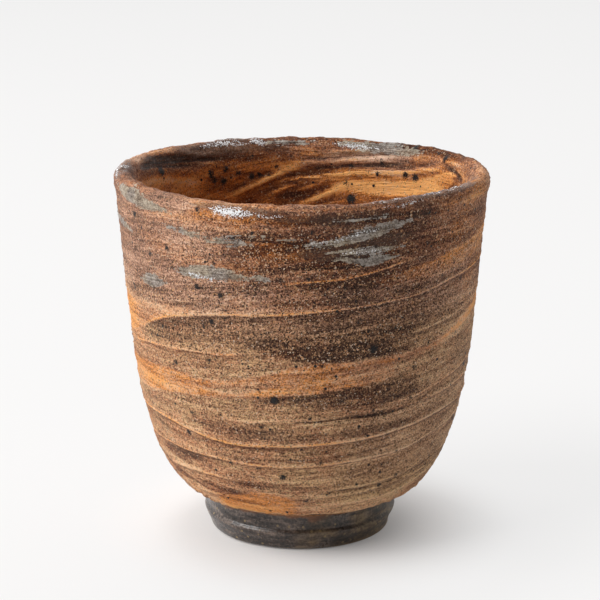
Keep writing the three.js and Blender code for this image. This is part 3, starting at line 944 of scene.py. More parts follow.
sheets = [
    Sheet([(-64, 52.5), (-57, 54.9), (-51, 56.7), (-41, 58.8), (-27, 60.5), (-14, 61.1), (8, 62)],
          [(-64, 52), (-59, 50.6), (-50, 50.9), (-40, 51.4), (-23, 51.7), (-16, 52.5),
           (8, 54)], -0.12, -0.3, 0.1),
    Sheet([(-18, 53.9), (-15, 55.3), (-10, 56), (-1, 56.2), (9, 57), (18, 57.6), (28, 58), (40, 57)],
          [(-18, 53.6), (-12, 52.2), (-4, 51.1), (7, 50.3), (13, 50.4), (27, 51), (34, 51.4),
           (40, 52)], -0.32, 0.0, 0.2),
    Sheet([(-8, 53.8), (4, 54.4), (16, 55), (32, 54.6)],
          [(-8, 51.6), (7, 50.2), (13, 50.3), (32, 51.2)], -0.26),
    Sheet([(-122, 41.6), (-90, 44), (-68, 44.4), (-57, 45), (-46, 45.6), (-37, 45.2), (-29, 45.2),
           (-17, 46.7), (-8, 48.4), (-1, 50.4), (7, 50.3), (13, 50.4), (24, 50.6), (34, 50)],
          [(-122, 41.2), (-90, 37.8), (-69, 37.7), (-53, 39.2), (-42, 40.2), (-29, 41.1), (-17, 41.7),
           (-8, 42.3), (1, 43.2), (12, 44.2), (24, 44.8), (34, 45.6)], 0.11, 1.1, -0.3),
    Sheet([(16, 51), (27, 50.9), (34, 51.1), (43, 51.7), (50, 52.5), (58, 54.5), (70, 57.1), (92, 60)],
          [(16, 49), (27, 49.1), (34, 49.2), (43, 50), (50, 50.8), (59, 52.5), (72, 54.8),
           (92, 57.6)], 0.14, 0.8, -0.4),
    Sheet([(-38, 42.9), (-29, 43.8), (-22, 44.6), (-10, 46.3), (-4, 46.8)],
          [(-38, 42.5), (-29, 42.4), (-20, 43), (-10, 44.4), (-4, 45.4)], -0.12, -0.6, 0.3),
    Sheet([(-18, 41.6), (-8, 42.2), (1, 43.1), (12, 44.1), (24, 44.7), (31, 45.2), (44, 45)],
          [(-18, 41.2), (-5, 40.7), (6, 40), (16, 39.8), (26, 39.7), (34, 40.3),
           (44, 42)], -0.26, -0.1, 0.1),
    Sheet([(-12, 42.2), (1, 43.1), (12, 44.1), (24, 44.7), (34, 45.2)],
          [(-12, 41.6), (1, 42), (12, 42), (24, 41.6), (34, 42.4)], -0.2),
    Sheet([(-75, 62.7), (-58, 63.6), (-44, 65.1), (-32, 67), (-22, 68.1), (-8, 68.4)],
          [(-75, 60.3), (-66, 59.8), (-57, 60), (-47, 61.3), (-36, 63), (-24, 64.6),
           (-8, 65.7)], -0.13, -0.4, 0.1),
    Sheet([(-124, 54.6), (-104, 57), (-84, 58), (-75, 58.4), (-59, 59.7), (-45, 60.9), (-33, 61.3),
           (-20, 61.4)],
          [(-124, 54.2), (-104, 51), (-84, 49), (-72, 50.5), (-66, 51.9), (-55, 55.3), (-48, 57),
           (-41, 59.1), (-33, 60.5), (-20, 60.9)], 0.08, 0.7, -0.3),
    Sheet([(20, 68.4), (30, 69.9), (42, 71.4), (56, 72.9), (70, 74.3), (92, 76)],
          [(20, 66.8), (31, 66.7), (38, 66.8), (47, 67.1), (58, 68.4), (71, 69.6), (92, 71)], 0.2, 0.6),
    Sheet([(20, 68.2), (34, 70.6), (46, 72), (60, 73), (76, 74)],
          [(20, 67.6), (34, 69.2), (46, 70.8), (60, 71.8), (76, 73)], 0.1, 0.25, -0.2),
    Sheet([(46, 53), (58, 54.6), (70, 56.6), (92, 60)],
          [(46, 51.4), (58, 52.6), (70, 54.4), (92, 58)], 0.06, 0.6, -0.2),
    Sheet([(12, 38.4), (25, 37.9), (32, 38.3), (38, 39), (48, 40.3)],
          [(12, 37), (25, 36.2), (33, 36.4), (41, 37.4), (48, 38.6)], -0.22),
    Sheet([(10, 35.2), (23, 34.7), (33, 34.9), (41, 35.4), (52, 36.3)],
          [(10, 32.4), (24, 32.8), (33, 33.5), (42, 34.1), (52, 35.2)], -0.2),
    Sheet([(-38, 32.6), (-25, 33.5), (-14, 34.6), (-1, 35.2), (10, 35)],
          [(-38, 31.8), (-27, 31), (-18, 30.9), (-1, 31.5), (10, 32.2)], -0.13, -0.1),
    Sheet([(-80, 32), (-70, 32.1), (-56, 32.2), (-44, 31.4)],
          [(-80, 30.8), (-69, 30.8), (-57, 30.5), (-44, 30.6)], -0.2, 0.1),
    Sheet([(-66, 24.6), (-52, 25.4), (-42, 25.8), (-35, 25.4)],
          [(-66, 23.6), (-55, 22.7), (-47, 22.7), (-35, 24.4)], -0.34),
    Sheet([(-74, 20.2), (-58, 18.6), (-44, 18.9), (-34, 18.1), (-22, 17.3)],
          [(-74, 19.6), (-58, 17.3), (-45, 16.5), (-35, 15.7), (-22, 16.5)], -0.44, 0.1),
    Sheet([(-29, 19.8), (-26, 20.3), (-20, 20.6), (-12, 20)],
          [(-29, 19.4), (-26, 18.8), (-20, 18.6), (-12, 19.4)], -0.32, 0.2),
    Sheet([(-42, 15.2), (-31, 15.4), (-22, 15.2), (-12, 14.4)],
          [(-42, 14.6), (-31, 13.8), (-22, 13.8), (-12, 14)], -0.38, 0.3),
    Sheet([(-42, 14), (-31, 15.6), (-21, 18.2), (-10, 18), (0, 15.6)],
          [(-42, 12.4), (-30, 11), (-9, 11), (0, 12)], 0.09, 1.1, -0.4),
    inner_sheet([(172, 74.3), (163, 75.8), (153, 76.1), (140, 76.7), (127, 78.9), (116, 81.8),
                 (104, 83)],
                [(172, 73.6), (161, 73.4), (155, 73), (144, 73.2), (132, 74.1), (117, 77.1),
                 (104, 80)], 0.64, 0.1),
    inner_sheet([(207, 72.2), (198, 73.9), (193, 75.5), (187, 77.2), (181, 78.5), (170, 79.2)],
                [(207, 68.5), (196, 70.8), (189, 72.4), (184, 73.9), (179, 75.1),
                 (170, 76.6)], -0.3, 0.3),
    inner_sheet([(193, 70.5), (189, 71.6), (184, 73.2), (179, 74.4), (173, 75.6), (165, 76.4)],
                [(193, 67), (181, 70), (174, 72.1), (168, 73.9), (165, 75)], -0.32, 0.3),
    inner_sheet([(178, 69.8), (169, 71.9), (161, 73), (155, 72.6), (144, 72.8), (126, 74.7)],
                [(178, 66), (161, 66), (144, 66), (126, 70)], -0.3, 0.2),
    inner_sheet([(184, 80.6), (166, 81.7), (150, 82.8), (132, 84.6)],
                [(184, 78), (165, 78.6), (149, 79.8), (132, 81.9)], -0.08, -1.2),
    inner_sheet([(188, 77), (180, 77.6), (172, 78.4), (164, 79)],
                [(188, 73.2), (180, 73.6), (172, 75.6), (164, 77.4)], -0.26, 0.5),
    inner_sheet([(184, 76.2), (169, 77.3), (161, 78.3), (151, 79), (140, 79.8), (128, 81.4)],
                [(184, 75), (169, 75.6), (161, 76.4), (149, 77.1), (135, 78.1), (128, 79.4)], 0.16),
    inner_sheet([(268, 85), (259, 84.7), (241, 83.8), (221, 82.2), (204, 81.5), (178, 81.4)],
                [(268, 82.3), (241, 79.8), (222, 77.6), (209, 76.9), (196, 77.8),
                 (178, 79.7)], -0.04, 0.3),
    inner_sheet([(268, 82.2), (241, 79.7), (222, 77.4), (205, 75.3)],
                [(268, 79), (242, 76.8), (223, 73.3), (205, 70.9)], 0.34, -0.2),
]

grit = np.zeros_like(height)
for sheet in sheets:
    upper, lower = through(sheet.upper), through(sheet.lower)
    inside_by = np.minimum(upper - height, height - lower) + RAGGED_SHEET * ragged
    shape = ease(inside_by, *SHEET_EDGE) * span_of(sheet.upper, SHEET_FADE)
    tone += sheet.tone * shape
    warmth += sheet.warmth * shape
    grit += sheet.grit * shape
print(f"{len(sheets)} sheets of slip")

# %% [markdown]
# ## Ash glass
# Wood ash that lands on the shoulder melts. Where it is thick it leaves a pale grey crust, and where it
# is thin it only makes the clay darker and glossy. Here and there white specks are painted on it as
# painted glints, where light would catch the glass. All three are kept as signed distances in
# millimetres, positive inside, so that the shader can cut a crisp edge and tear it.

# %% Runs of ash glass
Run = namedtuple("Run", "points half")
ash_runs = [
    Run([(5, 77.4), (15, 79), (24, 80.3), (34, 81.6)], 1.4),
    Run([(-3, 76.4), (6, 77.6), (14, 78.4)], 0.45),
    Run([(8, 83), (17, 82.9), (26, 83)], 0.12),
    Run([(6, 76), (19, 75.2), (32, 75.8)], 0.6),
    Run([(8, 74.4), (20, 72.9), (31, 73.8)], 0.9),
    Run([(-42, 69.4), (-37, 69.6), (-30, 69)], 1.1),
    Run([(-39, 70.2), (-28, 70.2), (-15, 68.9)], 1.5),
    Run([(-15, 69.6), (-12, 69.5), (-9, 69.4)], 0.7),
    Run([(-61, 65), (-53, 65.4), (-45, 65.8)], 1.3),
    Run([(-46, 79.3), (-33, 78), (-23, 77.3)], 0.6),
    Run([(-29, 77.8), (-22, 77.2), (-14, 76.8)], 0.85),
    Run([(-22, 79.2), (-8, 78.6), (6, 78.2)], 0.2),
    Run([(-84, 76.7), (-62, 75.2)], 0.9),
    Run([(-76, 84.8), (-64, 84.2), (-52, 83.2), (-40, 82.4)], 1.5),
    Run(within((168, 84.9), (158, 84.5), (146, 84.5), (130, 84.8)), 1.4),
    Run(within((198, 85.2), (186, 85), (172, 85)), 0.45),
]
gloss_runs = [
    Run(within((268, 84.6), (240, 83.9), (220, 83.5), (200, 83.5), (182, 84.1)), 1.5),
    Run(within((240, 85.3), (220, 85), (200, 85), (182, 85.2)), 1.0),
    Run(within((182, 82.4), (164, 82.6), (146, 83.3), (128, 84.5)), 0.7),
    Run([(-36, 84.8), (-18, 84.5), (-2, 84)], 1.1),
    Run([(-14, 83.5), (8, 83), (32, 83.5)], 0.9),
    Run([(2, 81.3), (26, 81.9)], 0.5),
    Run([(12, 85.8), (32, 86.2), (56, 86.4), (82, 86.4)], 0.9),
    Run([(-104, 85.6), (-88, 85.8), (-72, 85.4)], 1.0),
    Run([(-4, 75), (14, 76.2), (36, 78)], 2.6),
]
# painted glints: places where the glass catches the light, painted white
painted_glint_runs = [
    Run(within((220, 85.2), (209, 84.9), (199, 84.8)), 0.7),
    Run(within((200, 85.5), (192, 84.9)), 0.9),
    Run(within((170, 84.5), (158, 84.3), (147, 84.4)), 0.8),
    Run([(-29, 84.2), (-21, 84.2), (-13, 83.9)], 1.2),
    Run([(-16, 83.9), (-5, 83.6)], 0.35),
    Run([(-39, 69.2), (-32, 68.8), (-24, 68.2)], 0.8),
    Run([(0, 76.8), (14, 79.3), (28, 81.3)], 0.45),
    Run([(10, 75.5), (28, 75.3)], 0.35),
    Run([(-94, 85.8), (-78, 85.3)], 0.6),
    Run([(20, 86.1), (38, 86.3), (58, 86.3)], 0.2),
    Run([(23, 84.8), (31, 84.9), (39, 85.2)], 0.35),
]
FAR_OUTSIDE = -3.0
FAR_SIDE_RUNS = 14
RUN_FADE = 0.45
RUN_TAPER = 0.6
RAGGED_RUN = 0.5
GLOSS_MARGIN = 0.8


def far_side_runs():
    """A few more runs on the sides and back, dragged along the streaks like the front's."""
    draw = np.random.default_rng(19)
    made = []
    for _ in range(FAR_SIDE_RUNS):
        start, z = draw.uniform(75, 265), draw.uniform(62, 83)
        length, slope = draw.uniform(14, 30), draw.uniform(-1.0, 2.4)
        line = [(start, z), (start + length / 2, z + slope * 0.6), (start + length, z + slope)]
        made.append(Run(line, draw.uniform(0.6, 1.5)))
    return made


def signed_runs(runs):
    """Distance in millimetres to the nearest run's edge, positive inside. Runs taper to their ends."""
    field = np.full_like(height, FAR_OUTSIDE)
    for run in runs:
        length = run.points[-1][0] - run.points[0][0]
        strength = span_of(run.points, RUN_FADE * length)
        off_centre = np.abs(height - through(run.points) + RAGGED_RUN * ragged)
        edge = run.half * strength**RUN_TAPER - off_centre
        field = np.maximum(field, np.where(strength > 0, edge, FAR_OUTSIDE))
    return field


far_runs = far_side_runs()
ash = signed_runs(ash_runs + far_runs)
gloss = signed_runs(gloss_runs + [Run(run.points, run.half + GLOSS_MARGIN) for run in far_runs])
crystal = signed_runs(painted_glint_runs)
print(f"ash crust on {(ash > 0).mean():.1%} of the points, clear gloss on {(gloss > 0).mean():.1%}")

# %% [markdown]
# ## Iron spots
# Iron in the clay boils out in the kiln as black blisters. The ones in view sit where they sit on the
# real cup, as (angle, height, radius), and seeded numbers scatter more over the back and the deep inside.

# %% Iron spots
Spot = namedtuple("Spot", "angle height radius")
SCATTERED_OUTSIDE = 46
SCATTERED_INSIDE = 34
spots_outside = [
    (22.8, 52.9, 0.95), (-9, 41.8, 1.0), (10.2, 17.8, 0.5), (31.7, 18.5, 0.6), (38.1, 20.6, 0.6),
    (-7, 22.7, 0.75), (-43.6, 30.6, 0.7), (-26.3, 25.3, 0.55), (-25.3, 65.1, 0.75), (-33.3, 66.2, 0.7),
    (-29, 58.6, 0.7), (-52.6, 71.6, 0.7), (1.6, 16.2, 0.6), (38.5, 47.1, 0.5), (-20.5, 78.7, 0.5),
    (12.3, 41.2, 0.5), (23.5, 38.3, 0.55), (-31.3, 84.1, 0.6), (-44.3, 74, 0.65), (-32, 57.6, 0.6),
    (-6.2, 69.5, 0.5), (-14.2, 69.2, 0.45), (-4, 76.2, 0.45), (-31.3, 79.2, 0.45), (2.8, 80.4, 0.5),
    (21.6, 76.4, 0.6), (17.8, 72.4, 0.5), (6.8, 66.1, 0.5), (1.8, 69.8, 0.5), (39.9, 75.2, 0.4),
    (12.8, 67.5, 0.4), (17.8, 59.7, 0.45), (47.9, 67, 0.4), (53.7, 69.4, 0.45), (-44.7, 47.4, 0.65),
    (-31, 49.4, 0.5), (-33.5, 44.6, 0.4), (-39.9, 36.1, 0.5), (-16, 24.4, 0.5), (-36.3, 23, 0.45),
    (-13.7, 34.9, 0.45), (37.7, 39.8, 0.5), (6.2, 49.9, 0.45), (55.6, 25.3, 0.55), (49.1, 35.4, 0.4),
    (6.3, 26.4, 0.4),
]
spots_inside = [
    (160.6, 71.2, 1.3), (-117.4, 81.6, 1.25), (-160.4, 76.9, 0.95), (-143.2, 78.8, 0.8),
    (-148.5, 76.2, 0.9), (137.1, 78.8, 0.95), (132.5, 78.6, 1.0), (-170, 79, 0.5), (149.8, 78.1, 0.7),
    (148.5, 81.1, 0.7), (161, 79.6, 0.7), (162.8, 75.1, 0.65), (118.3, 84.5, 0.85), (136.1, 85.3, 0.85),
    (-143.8, 77.8, 0.7), (-149.8, 79.2, 0.8), (-144.8, 76.7, 0.75), (-163.7, 77.2, 0.8),
    (-155, 77.9, 0.65),
]


def scattered_spots():
    draw = np.random.default_rng(5)
    out, deep = SCATTERED_OUTSIDE, SCATTERED_INSIDE
    outer = zip(draw.uniform(60, 300, out), draw.uniform(15, 84, out), draw.uniform(0.3, 0.85, out))
    inner = zip(draw.uniform(0, 360, deep), draw.uniform(90, 165, deep), draw.uniform(0.3, 0.8, deep))
    return [Spot(*place) for place in (*outer, *inner)]


iron_spots = [Spot(angle, z, radius) for angle, z, radius in spots_outside]
iron_spots += [Spot(angle, INSIDE - z, radius) for angle, z, radius in spots_inside]
placed_spots = len(iron_spots)
iron_spots += scattered_spots()
iron = np.full_like(height, FAR_OUTSIDE)
for spot in iron_spots:
    turn = (degrees - spot.angle + 180) % 360 - 180
    across = np.radians(turn) * radius_at
    away = np.hypot(across, height - spot.height)
    iron = np.maximum(iron, spot.radius - away)
print(f"{placed_spots} iron spots placed, {len(iron_spots) - placed_spots} scattered")

# %% [markdown]
# ## Relief
# The skin moves by the ridges, a slow swell, fine drag marks along the streaks, the thickness of the
# glass and the blisters of iron. Near the foot joint it is held still, so the cup sits on its ring, with
# only a row of crumbs where the body's lower edge was trimmed. The lip is lumpy, and not level. All of
# this moves real points, because a lip or an edge drawn only as a bump would stay smooth in outline.

# %% Relief of the skin
HAND_MARKS = {
    "slow swell": Marks(0.16, 5, 13.0, 11),
    "palm": Marks(0.1, 12, 5.0, 12),
    "finger": Marks(0.1, 26, 1.9, 13),
    "sand": Marks(0.05, 90, 1.5, 14),
}
GLASS_THICKNESS = 0.12
GLASS_EDGE = (-0.2, 0.6)
BLISTER = 0.15
BLISTER_EDGE = (-0.3, 0.5)
GRIT = 0.06
LIP_LUMPS = Marks(0.2, 110, 1.6, 16)
LIP_SPREAD = 4.0
LIP_BEAD = 0.25
LIP_BEAD_HEIGHT = 83.4
LIP_BEAD_WIDTH = 1.2
HOLD = 2.5
CRUMBS = Marks(0.35, 130, 0.9, 17)
CRUMBS_START = (10.2, 11.2)
CRUMBS_END = (12.4, 14.0)
LIP_UNEVEN = 0.22
LIP_UNEVEN_SPREAD = 9.0
LIP_RIPPLE = 0.6
LIP_SETTLED = 0.9

for marks in HAND_MARKS.values():
    relief += marked(level, marks)
relief += GLASS_THICKNESS * ease(np.maximum(ash, crystal), *GLASS_EDGE)
relief += BLISTER * ease(iron, *BLISTER_EDGE)
relief += GRIT * np.random.default_rng(15).standard_normal(height.shape)
lip_shape = marked(height, LIP_LUMPS) + LIP_BEAD * hump(height, LIP_BEAD_HEIGHT, LIP_BEAD_WIDTH)
relief += hump(height, CUP_HEIGHT, LIP_SPREAD) * lip_shape
relief *= ease(height, JOINT_HEIGHT, JOINT_HEIGHT + HOLD)
low_edge = ease(height, *CRUMBS_START) * (1 - ease(height, *CRUMBS_END))
relief += low_edge * marked(height, CRUMBS)
lip_line = drift_around(height, 7, 21) + LIP_RIPPLE * drift_around(height, 31, 22) - LIP_SETTLED
lift = hump(height, CUP_HEIGHT, LIP_UNEVEN_SPREAD) * LIP_UNEVEN * lip_line
print(f"relief from {relief.min():.2f} to {relief.max():.2f} mm")

# %% [markdown]
# ## The colour of the clay
# Tone and warmth are whole-cup fields too: redder near the lip, greyer in the middle, tan near the foot,
# where the tone is also raised as painted light from the floor's bounce. Inside, the clay was shielded
# from the ash and stayed warm. Both sides are more orange than the front, and lighter in tone as painted
# light: the left side where the window falls on it, and the right edge as painted rim light from the
# white room. A rosy blush lies on the upper wall and on the right.

# %% Tone and warmth of the whole skin
ZONE_HEIGHTS = (0, 14, 26, 40, 52, 60, 70, 82, 88, 96, 110, 175)
ZONE_TONE = (0.88, 0.93, 0.86, 0.77, 0.76, 0.73, 0.62, 0.58, 0.68, 0.91, 0.83, 0.66)
ZONE_WARMTH = (0.8, 0.6, 0.38, 0.35, 0.25, 0.25, 0.7, 0.85, 1.3, 2.1, 2.3, 2.2)
COARSE_HEIGHTS = (10, 30, 50, 60, 80, 86, 92)
COARSENESS = (0.8, 0.9, 1.1, 1.2, 1.1, 0.9, 0.65)
TONE_CLOUDS = Marks(0.06, 9, 7.0, 31)
TONE_STREAKS = Marks(0.07, 17, 2.6, 32)
WARM_CLOUDS = Marks(0.14, 8, 9.0, 33)
LEFT_SIDE = math.radians(-75)
LEFT_RISE = (20, 40)
LEFT_PAINTED_LIGHT = 0.13
LEFT_WARMTH = 0.2
LEFT_SMOOTHNESS = 0.2
SMOOTH_RISE = (56, 70)
SMOOTH_SIDE = (0.4, 0.9)
RIGHT_SIDE = math.radians(85)
RIGHT_RISE = (18, 30)
RIGHT_PAINTED_RIM_LIGHT = 0.18
RIGHT_WARMTH = 0.3
LIP_BLUSH_RISE = (50, 66)
RIGHT_BLUSH = 0.25
RIGHT_BLUSH_RISE = (16, 28)
RIGHT_BLUSH_SIDE = (0.0, 0.5)
LOW_BLUSH = 0.2
LOW_BLUSH_ENDS = (34, 46)
FRONT_COARSENESS = 0.15

# painted light in part: the tone near the foot is raised for the light that the floor bounces up
tone += np.interp(height, ZONE_HEIGHTS, ZONE_TONE)
tone += marked(level, TONE_CLOUDS) + marked(level, TONE_STREAKS)
warmth += np.interp(height, ZONE_HEIGHTS, ZONE_WARMTH)
warmth += marked(level, WARM_CLOUDS)
outside = height < CUP_HEIGHT
window_side = np.cos(angles - LEFT_SIDE)
right_rim_side = np.maximum(0, np.cos(angles - RIGHT_SIDE)) ** 2 * ease(height, *RIGHT_RISE)
# painted light: the side that faces the window and the right rim are made lighter in tone
tone += outside * (LEFT_PAINTED_LIGHT * window_side * ease(height, *LEFT_RISE) + RIGHT_PAINTED_RIM_LIGHT * right_rim_side)
warmth += outside * (LEFT_WARMTH * window_side + RIGHT_WARMTH * right_rim_side)
coarse = np.interp(height, COARSE_HEIGHTS, COARSENESS)
coarse = coarse * (1 + FRONT_COARSENESS * np.cos(angles) * outside) + grit
coarse -= LEFT_SMOOTHNESS * ease(height, *SMOOTH_RISE) * ease(window_side, *SMOOTH_SIDE) * outside
right_blush = RIGHT_BLUSH + LOW_BLUSH * (1 - ease(height, *LOW_BLUSH_ENDS))
right_blush = right_blush * ease(np.sin(angles), *RIGHT_BLUSH_SIDE) * ease(height, *RIGHT_BLUSH_RISE)
blush = np.maximum(ease(height, *LIP_BLUSH_RISE), right_blush)
print(f"tone {tone.min():.2f} to {tone.max():.2f}, warmth {warmth.min():.2f} to {warmth.max():.2f}")

# %% [markdown]
# ## The clay's shader: streaks and grains
# Close up, the clay is sand in a fine paste that was dragged into streaks. Noise that is read at the bent
# level, and drawn out along the cup, gives the streaks. The cells of a Voronoi texture give the grains,
# because each cell has random numbers of its own, which can make one grain pale and the next one a pit.

# %% The clay's streaks and grains
ALONG_STREAKS = 60.0
GRAIN_PER_METRE = 1900.0
LUMPS_PER_METRE = 800.0
PATCHES_PER_METRE = 130.0
SAND_PER_METRE = 2500.0
DUST_PER_METRE = 4300.0
THREAD_WIDTH = (0.004, 0.022)


def grains(tree, place, per_metre):
    """Cells of the given fineness: each one's own three random numbers, and the way to its middle."""
    cells = node(tree, "ShaderNodeTexVoronoi", {"Vector": place, "Scale": per_metre})
    own = node(tree, "ShaderNodeSeparateColor", {0: cells.outputs["Color"]}).outputs
    return own["Red"], own["Green"], own["Blue"], cells.outputs["Distance"]


def clay_textures(tree):
    """The textures that all layers of the clay share."""
    clay = SimpleNamespace()
    clay.place = from_object(tree)
    clay.split = node(tree, "ShaderNodeSeparateXYZ", {0: clay.place}).outputs
    along_x = maths(tree, "MULTIPLY", clay.split["X"], ALONG_STREAKS)
    along_y = maths(tree, "MULTIPLY", clay.split["Y"], ALONG_STREAKS)
    bent = {"X": along_x, "Y": along_y, "Z": from_vertices(tree, "level")}
    streak_at = node(tree, "ShaderNodeCombineXYZ", bent).outputs[0]
    clay.broad = noise(tree, streak_at, 0.5, 4.0, 0.62)
    clay.thin = noise(tree, streak_at, 1.7, 3.0, 0.6)
    clay.strand = noise(tree, streak_at, 2.6, 3.0, 0.6)
    clay.hair = noise(tree, streak_at, 4.5, 2.0, 0.6)
    wander = maths(tree, "SUBTRACT", noise(tree, streak_at, 0.8, 1.5), 0.5)
    clay.thread = eased(tree, maths(tree, "ABSOLUTE", wander), *THREAD_WIDTH, 1.0, 0.0)
    clay.grain = noise(tree, clay.place, GRAIN_PER_METRE, 3.0, 0.75)
    clay.lump = noise(tree, clay.place, LUMPS_PER_METRE, 2.0, 0.6)
    clay.patchy = noise(tree, clay.place, PATCHES_PER_METRE, 3.0)
    clay.sand, clay.sand_tint, clay.sand_pick, clay.sand_way = grains(tree, clay.place, SAND_PER_METRE)
    clay.dust, clay.dust_tint, clay.dust_pick, _ = grains(tree, clay.place, DUST_PER_METRE)
    clay.coarse = from_vertices(tree, "coarse")
    return clay


print(f"sand of {1 / SAND_PER_METRE / MM:.2f} mm and dust of {1 / DUST_PER_METRE / MM:.2f} mm")

# %% [markdown]
# ## The clay's shader: the lines of the ridges
# A ridge is a fine bright line with a dark one under it, which is painted shadow of the ridge together
# with the dirt that lies there. Under a groove the same term turns lighter, as a painted lit lip, and the
# groove's own line is painted dark as shade. Both are found from the count field. A little noise makes
# them wander, and the broad streaks break them up.

# %% The lines of the ridges
LINE_WANDER = 0.5
LINE_WIDTH = (0.05, 0.36)
SHADOW_DROP = 0.8
SHADOW_WIDTH = (0.15, 0.6)
BREAKS = (0.36, 0.54, 0.6, 1.0)


def ridge_lines(tree, clay):
    counted = from_vertices(tree, "count")
    off_line = maths(tree, "SUBTRACT", counted, maths(tree, "ROUND", counted))
    off_line = maths(tree, "MULTIPLY", off_line, COUNT_REACH)
    off_line = maths(tree, "SUBTRACT", off_line, LINE_WANDER / 2)
    off_line = summed(tree, off_line, (clay.thin, LINE_WANDER))
    power = maths(tree, "MULTIPLY", from_vertices(tree, "crest"), eased(tree, clay.broad, *BREAKS))
    on_line = eased(tree, maths(tree, "ABSOLUTE", off_line), *LINE_WIDTH, 1.0, 0.0)
    clay.ridge = maths(tree, "MULTIPLY", on_line, power)
    # painted shadow under each ridge, with its dirt; under a groove it turns into a painted lit lip
    off_shadow = maths(tree, "ABSOLUTE", maths(tree, "ADD", off_line, SHADOW_DROP))
    in_shadow = eased(tree, off_shadow, *SHADOW_WIDTH, 1.0, 0.0)
    clay.under = maths(tree, "MULTIPLY", in_shadow, power)


print(f"ridge lines {2 * LINE_WIDTH[1]:.2f} mm wide at most")

# %% [markdown]
# ## The clay's shader: its colours
# Four ramps run from dark to pale: grey and rosy clay where the air was short in the kiln, warm clay, and
# the ember orange of clean flame. Shade picks the place on a ramp, from the tone and all the streaks, and
# heat picks the ramp. One ramp for all would tie the colour to the brightness, and here each is free.

# %% The clay's colours
GREY_CLAY = [
    (0.0, (0.0300, 0.0159, 0.0109)), (0.2, (0.0665, 0.0354, 0.0238)), (0.4, (0.147, 0.0785, 0.0475)),
    (0.6, (0.320, 0.1760, 0.0930)), (0.8, (0.63, 0.376, 0.186)), (1.0, (0.86, 0.60, 0.33)),
]
ROSE_CLAY = [
    (0.0, (0.031, 0.0155, 0.0102)), (0.2, (0.069, 0.0347, 0.0224)), (0.4, (0.149, 0.0762, 0.0490)),
    (0.6, (0.32, 0.165, 0.1060)), (0.8, (0.62, 0.343, 0.220)), (1.0, (0.86, 0.59, 0.43)),
]
WARM_CLAY = [
    (0.0, (0.034, 0.0115, 0.0056)), (0.2, (0.075, 0.0257, 0.0130)), (0.4, (0.164, 0.0617, 0.0325)),
    (0.6, (0.355, 0.151, 0.0790)), (0.8, (0.68, 0.325, 0.166)), (1.0, (0.88, 0.56, 0.34)),
]
EMBER_CLAY = [
    (0.0, (0.034, 0.0060, 0.0002)), (0.2, (0.076, 0.0160, 0.0012)), (0.4, (0.17, 0.0445, 0.0065)),
    (0.6, (0.38, 0.120, 0.0245)), (0.8, (0.78, 0.285, 0.062)), (1.0, (0.97, 0.47, 0.15)),
]
SUNKEN = 0.4
SPECKLE_MIDDLE = 1.04
SHADE_MIDDLE = 1.1
SHADE_SPREAD = 0.8
HEAT_MIDDLE = 2.4


def clay_colour(tree, clay):
    """The bare clay, before quartz, iron and glass."""
    sunken_sand = maths(tree, "POWER", clay.sand, SUNKEN)
    sunken_dust = maths(tree, "POWER", clay.dust, SUNKEN)
    speckle = summed(tree, -SPECKLE_MIDDLE, (sunken_sand, 0.36), (clay.grain, 0.55), (sunken_dust, 0.7))
    streaks = (clay.broad, 1.15), (clay.thin, 0.75), (clay.hair, 0.3), (clay.thread, 0.1)
    # the under term is painted shadow below the ridges and painted light below the grooves
    marks = (speckle, clay.coarse), (clay.ridge, 0.48), (clay.under, -0.4)
    shade = summed(tree, from_vertices(tree, "tone"), *streaks, *marks)
    shade = maths(tree, "MULTIPLY", maths(tree, "SUBTRACT", shade, SHADE_MIDDLE), SHADE_SPREAD)
    fire = (clay.patchy, 2.0), (clay.sand_tint, 0.8), (clay.strand, 2.0), (clay.ridge, 0.9)
    heat = summed(tree, from_vertices(tree, "warmth"), *fire)
    heat = maths(tree, "SUBTRACT", heat, HEAT_MIDDLE)
    ember = clamped(tree, maths(tree, "SUBTRACT", heat, 1.0))
    colour = colour_ramp(tree, shade, GREY_CLAY)
    colour = painted(tree, from_vertices(tree, "blush"), colour, colour_ramp(tree, shade, ROSE_CLAY))
    colour = painted(tree, clamped(tree, heat), colour, colour_ramp(tree, shade, WARM_CLAY))
    return painted(tree, ember, colour, colour_ramp(tree, shade, EMBER_CLAY))


print(f"clay ramps of {len(GREY_CLAY)} steps")

# %% [markdown]
# ## The clay's shader: quartz, pits and iron
# A few grains in a hundred are pale quartz, and the palest of them stand in as painted sparkle, where
# glassy grains would catch the light. A few more fell out and left a pit, painted dark as the shade
# inside it. Which ones is up to the grains' own random numbers. Iron shows as fine flecks all over, and
# as the spots that were placed above, whose edges the grain tears open.

# %% Quartz, pits and iron
QUARTZ_AND_SPARKLE_COLOURS = [(0.0, (0.46, 0.21, 0.085)), (0.7, (0.64, 0.37, 0.19)), (1.0, (0.82, 0.70, 0.55))]
PAINTED_PIT_SHADE = (0.022, 0.014, 0.010, 1.0)
IRON_COLOUR = (0.014, 0.012, 0.012, 1.0)
QUARTZ_DUST = (0.98, 1.03, 0.0, 0.6)
QUARTZ_SAND = (0.965, 0.97, 0.0, 0.8)
LOST_SAND = (0.16, 0.19, 0.8, 0.0)
PIT_WIDTH = (0.3, 0.5, 1.0, 0.0)
FLECKS_PER_METRE = 400.0
FLECK_SIZES = (0.2, 1.0, 0.02, 0.15)
FLECK_EDGE = (-0.03, 0.03)
BLOT_MIDDLE = 1.6
BLOT_EDGE = (-0.1, 0.14)


